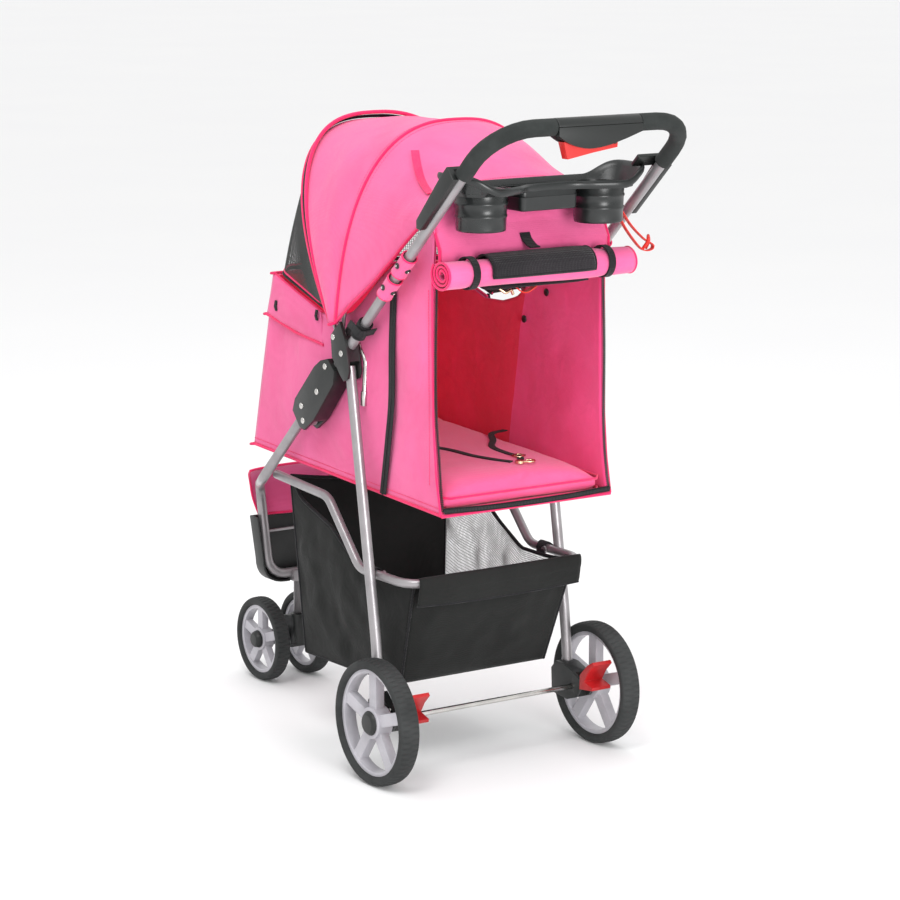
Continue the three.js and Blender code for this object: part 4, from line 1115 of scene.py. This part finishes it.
def basket_rear(u, v):
    x = mix(-1, 1, u) * mix(131, 144, v)
    y, z = mix(foot_rear[0], -14, v), mix(foot_rear[1], 296 - 5 * math.sin(math.pi * u), v)
    here = at(x, y, z)
    loose = min(1, 4 * swell(u, v))
    here.y -= 0.010 * swell(u, v) + (fold(here, 62, 9, 13) + crease(here, 30, 3, 3)) * loose
    return here


def basket_floor(u, v):
    here = at(mix(-1, 1, u) * 130, mix(foot_rear[0], foot_front[0], v), mix(foot_rear[1], foot_front[1], v))
    here.z -= 0.007 * swell(u, v)
    return here


cloth_parts = [surface("k", basket_side(-1), 56, 34, BLACK_CLOTH), surface("k", basket_front, 44, 34, BLACK_CLOTH),
               surface("k", basket_rear, 44, 34, BLACK_CLOTH), surface("k", basket_floor, 30, 30, BLACK_CLOTH, 2.0)]
right = basket_side(1)
net_right = net_piece("k", right, 110, 52, 0.55, PALE_NET)


def band_place(u, v):
    """The band that folds over the rear tube, seen from behind."""
    turn = mix(-2.4, 1.9, v)
    x = mix(-1, 1, u) * 146
    drop = max(0.0, (0.30 - v) / 0.30) * 26
    droop = 4 * math.sin(math.pi * u)
    reach = 9.6 * math.cos(turn * 0.55) * (1 if v < 0.9 else 0.8)
    here = at(x, -24 - reach, 300 + 10 * math.sin(turn) - drop - droop * (v < 0.5))
    here.y += crease(here, 50, 2.4, 14)
    return here


rear_band = surface("k", band_place, 50, 20, BLACK_CLOTH, 1.6)
edges = []
for side in (-1, 1):
    place = basket_side(side)
    edges.append(tube_along("k", even(row_of(place, 1, 40), 60), 2.8, WEBBING))
    edges.append(tube_along("k", even(row_of(place, 0, 30), 40), 1.8, WEBBING))
    edges.append(tube_along("k", even(column_of(place, 0, 20), 30), 2.2, WEBBING))
    edges.append(tube_along("k", even(column_of(place, 1, 20), 30), 2.4, WEBBING))
edges.append(tube_along("k", even(row_of(basket_front, 1, 40), 50), 2.8, WEBBING))
edges.append(tube_along("k", even(row_of(band_place, 0, 40), 50), 1.8, WEBBING))
HANGER = [(144, 70, 290), (148, 74, 304), (157, 76, 309.5), (166, 74, 303)]
straps = [webbing("k", follow([at(side * x, y, z) for x, y, z in HANGER], 12), 20, 1.4, WEBBING, side=(0, 1, 0))
          for side in (-1, 1)]
basket = join_pieces("basket_bag", [*cloth_parts, net_right, rear_band, *edges, *straps])
hang(basket, "basket_frame", "black_fabric", "basket")
print("basket", len(basket.data.polygons))

# %% [markdown]
# ## Small cloth parts on the frame
# Pink sleeves wrap the main tubes and close with snaps, a black strap holds the canopy's corner,
# and a sleeve of the same cloth closes the front tubes above the footrest.

# %% Sleeves, straps and the front sleeve
def sleeve(x, s0, s1, radius, finish):
    def place(u, v):
        a = 2 * math.pi * u
        y, z = along(mix(s0, s1, v), radius * math.sin(a) * (1 + 0.05 * math.sin(7 * v)))
        return at(x + radius * math.cos(a) * (1.08 + 0.04 * math.sin(5 * v + x)), y, z)
    return surface("s", place, 20, 14, finish, 1.6, wrap=True)


wraps, snaps = [], []
for side in (-1, 1):
    for s0, s1 in ((66, 104), (118, 156)):
        wraps.append(sleeve(side * TUBE_X, s0, s1, 10.6, PINK))
        for s in (s0, s1):
            ring = [at(side * TUBE_X + 11.6 * math.cos(a), *along(s, 10.9 * math.sin(a)))
                    for a in (2 * math.pi * k / 24 for k in range(25))]
            wraps.append(tube_along("s", ring, 1.4, HOT_PINK))
        snaps.append((at(side * (TUBE_X + 12.2), *along((s0 + s1) / 2, 0)), (side, 0, 0)))
        below = (0, -math.sin(SLOPE), -math.cos(SLOPE))
        snaps.append((at(side * (TUBE_X - 1), *along((s0 + s1) / 2, -11.6)), below))
    wraps.append(sleeve(side * TUBE_X, 226, 256, 10.2, WEBBING))
    wraps.append(webbing("s", follow([at(side * 186, *along(246, 16)), at(side * 187, *along(240, 4)),
                                      at(side * 184, *along(236, -12)), at(side * 164, *along(226, -16))], 14),
                         14, 1.8, WEBBING, side=(0, math.cos(SLOPE), -math.sin(SLOPE))))
wrap = join_pieces("tube_sleeves", wraps)
hang(wrap, "upper_frame", "pink_fabric")
snap = studs("sleeve_snaps", snaps, 4.6, 2.4, ABS)
snap_core = studs("sleeve_snap_centres", [(p + Vector(d) * 0.0016, d) for p, d in snaps], 2.0, 1.4, PLATED)
snap = join_pieces("sleeve_snaps", [snap, snap_core])
hang(snap, "upper_frame", "black_plastic")


def calf_place(u, v):
    rows = [(60, 574, 288), (68, 580, 318), (74, 578, 346), (84, 564, 364), (94, 541, 374)]
    edge = line_through([Vector(r) for r in rows], smooth=True)(v)
    x = edge.x * (2 * u - 1) * 1.05
    here = at(x, edge.y, edge.z)
    return here + Vector((0, 0.6, 0.8)) * (crease(here, 60, 3.5, 15) - 0.003 * (abs(2 * u - 1) ** 6))


calf = surface("front_sleeve_cloth", calf_place, 44, 30, PINK, 1.4)
calf_bits = [calf]
for v in (0.0, 1.0):
    calf_bits.append(tube_along("c", even(row_of(calf_place, v, 40), 50), 2.2, HOT_PINK))
for u in (0.0, 1.0):
    calf_bits.append(tube_along("c", even(column_of(calf_place, u, 30), 40), 2.0, HOT_PINK))
calf = join_pieces("front_sleeve", calf_bits)
hang(calf, "front_frame", "pink_fabric", "front_calf_panel")
calf_spots = [(calf_place(u, 0.72) + Vector((0, 0.001, 0.0016)), (0, 0.5, 0.86)) for u in (0.07, 0.93)]
calf_snap = studs("front_sleeve_snaps", calf_spots, 4.6, 2.2, ABS)
hang(calf_snap, "front_frame", "black_plastic")
print("small cloth parts done")

# %% [markdown]
# ## Frame, tray and fittings
# The hard parts keep the frame's own shape. Each one is copied, its triangles are joined, its
# moulded edges are rounded, and it gets its finish.

# %% Hard parts
for node in ("handle_tube", "front_frame_tube", "caster_stem", "basket_tube", "canopy_mid_bow",
             "canopy_front_bow", "rear_leg_left", "rear_leg_right"):
    dress(node, SILVER, "frame_tube", angle=55)
pair = lambda node, radius: [(f"{node}_{hand}", radius) for hand in ("left", "right")]
for node, radius in [("grip_housing_upper", 2.0), ("grip_housing_lower", 2.0), ("footrest", 1.6),
                     ("caster_housing", 1.4), *pair("tray_arm", 1.2), *pair("side_bracket", 1.4),
                     *pair("lock_housing", 1.8), *pair("brake_housing", 1.6)]:
    dress(node, ABS, "black_plastic", angle=38, bevel_mm=radius, segments=3)
for node in ("foam_grip_left", "foam_grip_right"):
    dress(node, FOAM, "grip_foam", angle=50, bevel_mm=1.2, segments=3)
dress("fold_trigger", RED_ABS, "red_plastic", bevel_mm=1.6, segments=3)
for node in ("brake_pedal_left", "brake_pedal_right"):
    dress(node, PEDAL_RED, "red_plastic", bevel_mm=1.6, segments=3)
for node in ("front_axle", "rear_axle", "canopy_lever_left", "canopy_lever_right",
             "lock_slider_left", "lock_slider_right"):
    dress(node, PLATED, "plated_steel", angle=45, bevel_mm=0.5)
print("hard parts dressed")

# %% [markdown]
# The tray is moulded in one piece. Its lip bulges round the two cup wells, draws in at the middle,
# and rises at both sides to meet the tubes. It is built from rings: each one is the plan outline,
# moved in by some distance, at some height.

# %% Tray
def smooth_step(t):
    t = min(1, max(0, t))
    return t * t * (3 - 2 * t)


def stack(name, outline, rows, finish):
    """A closed solid from rings: rows give how far in from the outline, and how high, each ring is."""
    count = len(outline)
    sides = []
    for i, (x, y) in enumerate(outline):
        ahead, behind = outline[(i + 1) % count], outline[i - 1]
        way = Vector((ahead[0] - behind[0], ahead[1] - behind[1])).normalized()
        sides.append((-way.y, way.x))
    points = [at(x + inset * sides[i][0], y + inset * sides[i][1], high(x) if callable(high) else high)
              for inset, high in rows for i, (x, y) in enumerate(outline)]
    faces = grid_faces(count, len(rows) - 1, wrap=True)
    last = (len(rows) - 1) * count
    faces += [tuple(range(count - 1, -1, -1)), tuple(last + i for i in range(count))]
    piece = new_piece(name, points, faces, finish)
    piece.data.set_sharp_from_angle(angle=math.radians(50))
    return piece


def round_plan(x, y, radius, count=48):
    turns = [2 * math.pi * i / count for i in range(count)]
    return [(x + radius * math.cos(turn), y + radius * math.sin(turn)) for turn in turns]


def box_plan(x0, x1, y0, y1, radius):
    plan = []
    for cx, cy, start in ((x1 - radius, y0 + radius, -90), (x1 - radius, y1 - radius, 0),
                          (x0 + radius, y1 - radius, 90), (x0 + radius, y0 + radius, 180)):
        turns = [math.radians(start + a) for a in (0, 22.5, 45, 67.5, 90)]
        plan += [(cx + radius * math.cos(turn), cy + radius * math.sin(turn)) for turn in turns]
    return plan


near = [(-163, -130), (-160, -160), (-138, -181), (-103, -186), (-68, -173), (-38, -157), (0, -153),
        (38, -157), (68, -173), (103, -186), (138, -181), (160, -160), (163, -130)]
far = [(160, -100), (130, -79), (60, -73), (0, -72), (-60, -73), (-130, -79), (-160, -100)]
loop = [Vector((x, y, 0)) for x, y in near + far]
smooth_loop = follow(loop[-3:] + loop + loop[:3], 240)
start = min(range(60), key=lambda i: (smooth_loop[i] - loop[0]).length)
end = min(range(180, 241), key=lambda i: (smooth_loop[i] - loop[0]).length)
lip_plan = [(p.x, p.y) for p in smooth_loop[start:end]]
lip = lambda rise: (lambda x: 893 + rise + 20 * smooth_step((abs(x) - 108) / 54))
dish = stack("tray_dish", lip_plan, [
    (17, 881), (9, lip(-10)), (3, lip(-11)), (0.6, lip(-8)), (0, lip(-4)), (0.8, lip(-1)), (2.8, lip(0.8)),
    (5, lip(-0.6)), (8, lip(-7)), (13, 886), (17, 885)], ABS_SATIN)
cutters = [stack("cut", round_plan(x, -126, 35.6), [(0, 860), (0, 900)], ABS_SATIN) for x in (-103, 103)]
cutters.append(stack("cut", box_plan(-47, 47, -148, -87, 7), [(0, 860), (0, 900)], ABS_SATIN))
cutter = join_pieces("cut", cutters)
modify(dish, "BOOLEAN", operation="DIFFERENCE", object=cutter, solver="EXACT")
dish = settle(dish)
bpy.data.objects.remove(cutter)
cup_rows = [(4.5, 829), (2.8, 830), (2.2, 833), (1.7, 848), (0.4, 849.5), (0.4, 852), (1.5, 853.5), (1.1, 866),
            (-0.2, 867.5), (-0.2, 870), (0.9, 871.5), (0, 883.5), (0.4, 886.4), (2.6, 886.4), (3.2, 882),
            (5.2, 834), (8, 832)]
wells = [stack("well", round_plan(x, -126, 38), cup_rows, ABS_SATIN) for x in (-103, 103)]
box_rows = [(4, 854), (1.4, 854.8), (0.4, 857), (0, 872), (-1, 874), (0, 876), (0, 886.2), (2.8, 886.2),
            (3.2, 860), (6, 857)]
wells.append(stack("well", box_plan(-50, 50, -151, -84, 9), box_rows, ABS_SATIN))
tray = join_pieces("parent_tray_moulding", [dish, *wells])
hang(tray, "upper_frame", "black_plastic", "parent_tray")
print("tray", len(tray.data.polygons))

# %% Rivets, bolts and screws
spots = []
for side in (-1, 1):
    for s, v in ((346, 8), (392, -6), (444, 4), (456, -15)):
        spots.append((at(side * 187.2, *along(s, v)), (side, 0, 0)))
    for y, z in (CANOPY_PIVOT, (118, 628)):
        spots.append((at(side * 185.7, y, z), (side, 0, 0)))
rivets = studs("upper_rivets", spots, 5.0, 2.2, PLATED)
hang(rivets, "upper_frame", "plated_steel")
heads = studs("grip_screws", [(at(x, *along(-220 + 14, 2)), SLOPE_NORMAL) for x in (-50, 50)], 3.6, 1.6, PLATED)
hang(heads, "upper_frame", "plated_steel")
lower = studs("brake_screws", [(at(side * 183.6, y, z), (side, 0, 0)) for side in (-1, 1)
                               for y, z in ((36, 100), (-8, 112))], 4.0, 1.8, PLATED)
hang(lower, "rear_frame", "plated_steel")

# %% [markdown]
# ## Wheels
# A tyre is a rounded ring with a fine tread: short blocks cut across its edge, in two staggered
# rows. Every wheel turns about its own axle, so each one is built around it.

# %% Tyres
def tyre(name, x, y, z, radius, width, rim_radius, blocks):
    around, across = blocks * 6, 30
    points, faces = [], []
    for i in range(around):
        turn = 2 * math.pi * i / around
        for j in range(across):
            lap = 2 * math.pi * j / across
            wide = math.copysign(abs(math.cos(lap)) ** 0.72, math.cos(lap))
            tall = math.copysign(abs(math.sin(lap)) ** 0.72, math.sin(lap))
            middle, half = (radius + rim_radius - 3) / 2, (radius - rim_radius + 3) / 2
            reach = middle + half * tall
            if tall > 0.72:
                row = 0 if wide < 0 else 1
                step = (i + 3 * row) % 6
                groove = (step == 0 or step == 1) and abs(wide) > 0.18
                reach -= 1.5 if groove or 0.02 < abs(wide) < 0.12 else 0.0
            points.append(at(x + wide * width / 2, y + reach * math.cos(turn), z + reach * math.sin(turn)))
    for i in range(around):
        a, b = i * across, (i + 1) % around * across
        for j in range(across):
            k = (j + 1) % across
            faces.append((a + j, b + j, b + k, a + k))
    piece = new_piece(name, points, faces, RUBBER)
    piece.data.set_sharp_from_angle(angle=math.radians(48))
    return piece


WHEELS = []
for hand, side in (("left", -1), ("right", 1)):
    WHEELS.append((f"rear_{hand}", side * 201, 0, 95, 95, 33, 82, 66))
    WHEELS.append((f"front_{hand}", side * 41.5, 602, 70, 70, 26, 59, 52))
for name, x, y, z, radius, width, rim_radius, blocks in WHEELS:
    end, hand = name.split("_")
    body = f"{end}_wheel_{hand}"
    ring = tyre(f"{name}_tyre_treaded", x, y, z, radius, width, rim_radius, blocks)
    hang(ring, body, "tyre", f"{name}_tyre")
    dress(f"{name}_rim", RIM, "rim", angle=40, bevel_mm=1.1, segments=3)
    dress(f"{name}_cap", ABS, "black_plastic", angle=40, bevel_mm=0.9, segments=3)
print("wheels done")

# %% [markdown]
# ## Folding
# When the frame folds, the cabin is pressed flat against the main tubes and the basket against the
# floor of the frame. Here the cabin's pieces and the basket only get a mesh of their own; nothing flattens their
# cloth.

# %% Cloth pieces that get a mesh of their own
cabin = ["side_panel_left", "side_panel_right", "lining_left", "lining_right", "front_wall_cloth",
         "front_lining", "cabin_base_cloth", "cabin_pad_cushion", "pad_piping", "cabin_bindings",
         "side_zip_strips", "doorway_zip", "collar_band", "collar_tabs", "cabin_topstitching",
         "lining_snaps", "leash_long_strap", "leash_short_strap", "leash_buckle", "leash_hook_finished"]
for name in cabin:
    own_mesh(bpy.data.objects[name])
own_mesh(bpy.data.objects["basket_bag"])
print(len(cabin) + 1, "pieces flatten")

# %% [markdown]
# ## Floor and light
# A plain pale floor and soft studio light: one large lamp above, a softer one from each side.

# %% Floor and light
ground, tree, shader, place = new_finish("studio_floor", Roughness=0.9)
shade = add_node(tree, "ShaderNodeTexNoise", {"Vector": place, "Scale": 1.2, "Detail": 2.0})
tone = add_node(tree, "ShaderNodeMix", {0: shade.outputs["Fac"], 6: paint("#F6F6F6"), 7: paint("#F3F3F4")},
                data_type="RGBA")
tree.links.new(tone.outputs[2], shader.inputs["Base Color"])
floor_points = [(-30, -30, 0), (30, -30, 0), (30, 30, 0), (-30, 30, 0)]
floor = new_piece("studio_floor", floor_points, [(0, 1, 2, 3)], ground, smooth=False)

world = bpy.data.worlds.new("studio")
world.use_nodes = True
world.node_tree.nodes["Background"].inputs["Color"].default_value = (1, 1, 1, 1)
world.node_tree.nodes["Background"].inputs["Strength"].default_value = 1.0
bpy.context.scene.world = world
bpy.context.scene.view_settings.view_transform = "Standard"


def lamp(name, place, aim, size, power):
    light = bpy.data.lights.new(name, "AREA")
    light.shape = "DISK"
    light.size = size
    light.energy = power
    holder = bpy.data.objects.new(name, light)
    bpy.context.scene.collection.objects.link(holder)
    holder.location = place
    holder.rotation_euler = (Vector(aim) - Vector(place)).to_track_quat("-Z", "Y").to_euler()
    return holder


lamp("key", (-1.6, -1.4, 3.2), (0, 0, 0.5), 1.6, 40)
lamp("fill", (-0.4, -3.2, 0.9), (0, 0, 0.62), 1.4, 56)
lamp("top", (0.2, 1.2, 3.4), (0, 0, 0.4), 2.0, 16)
print("lit")
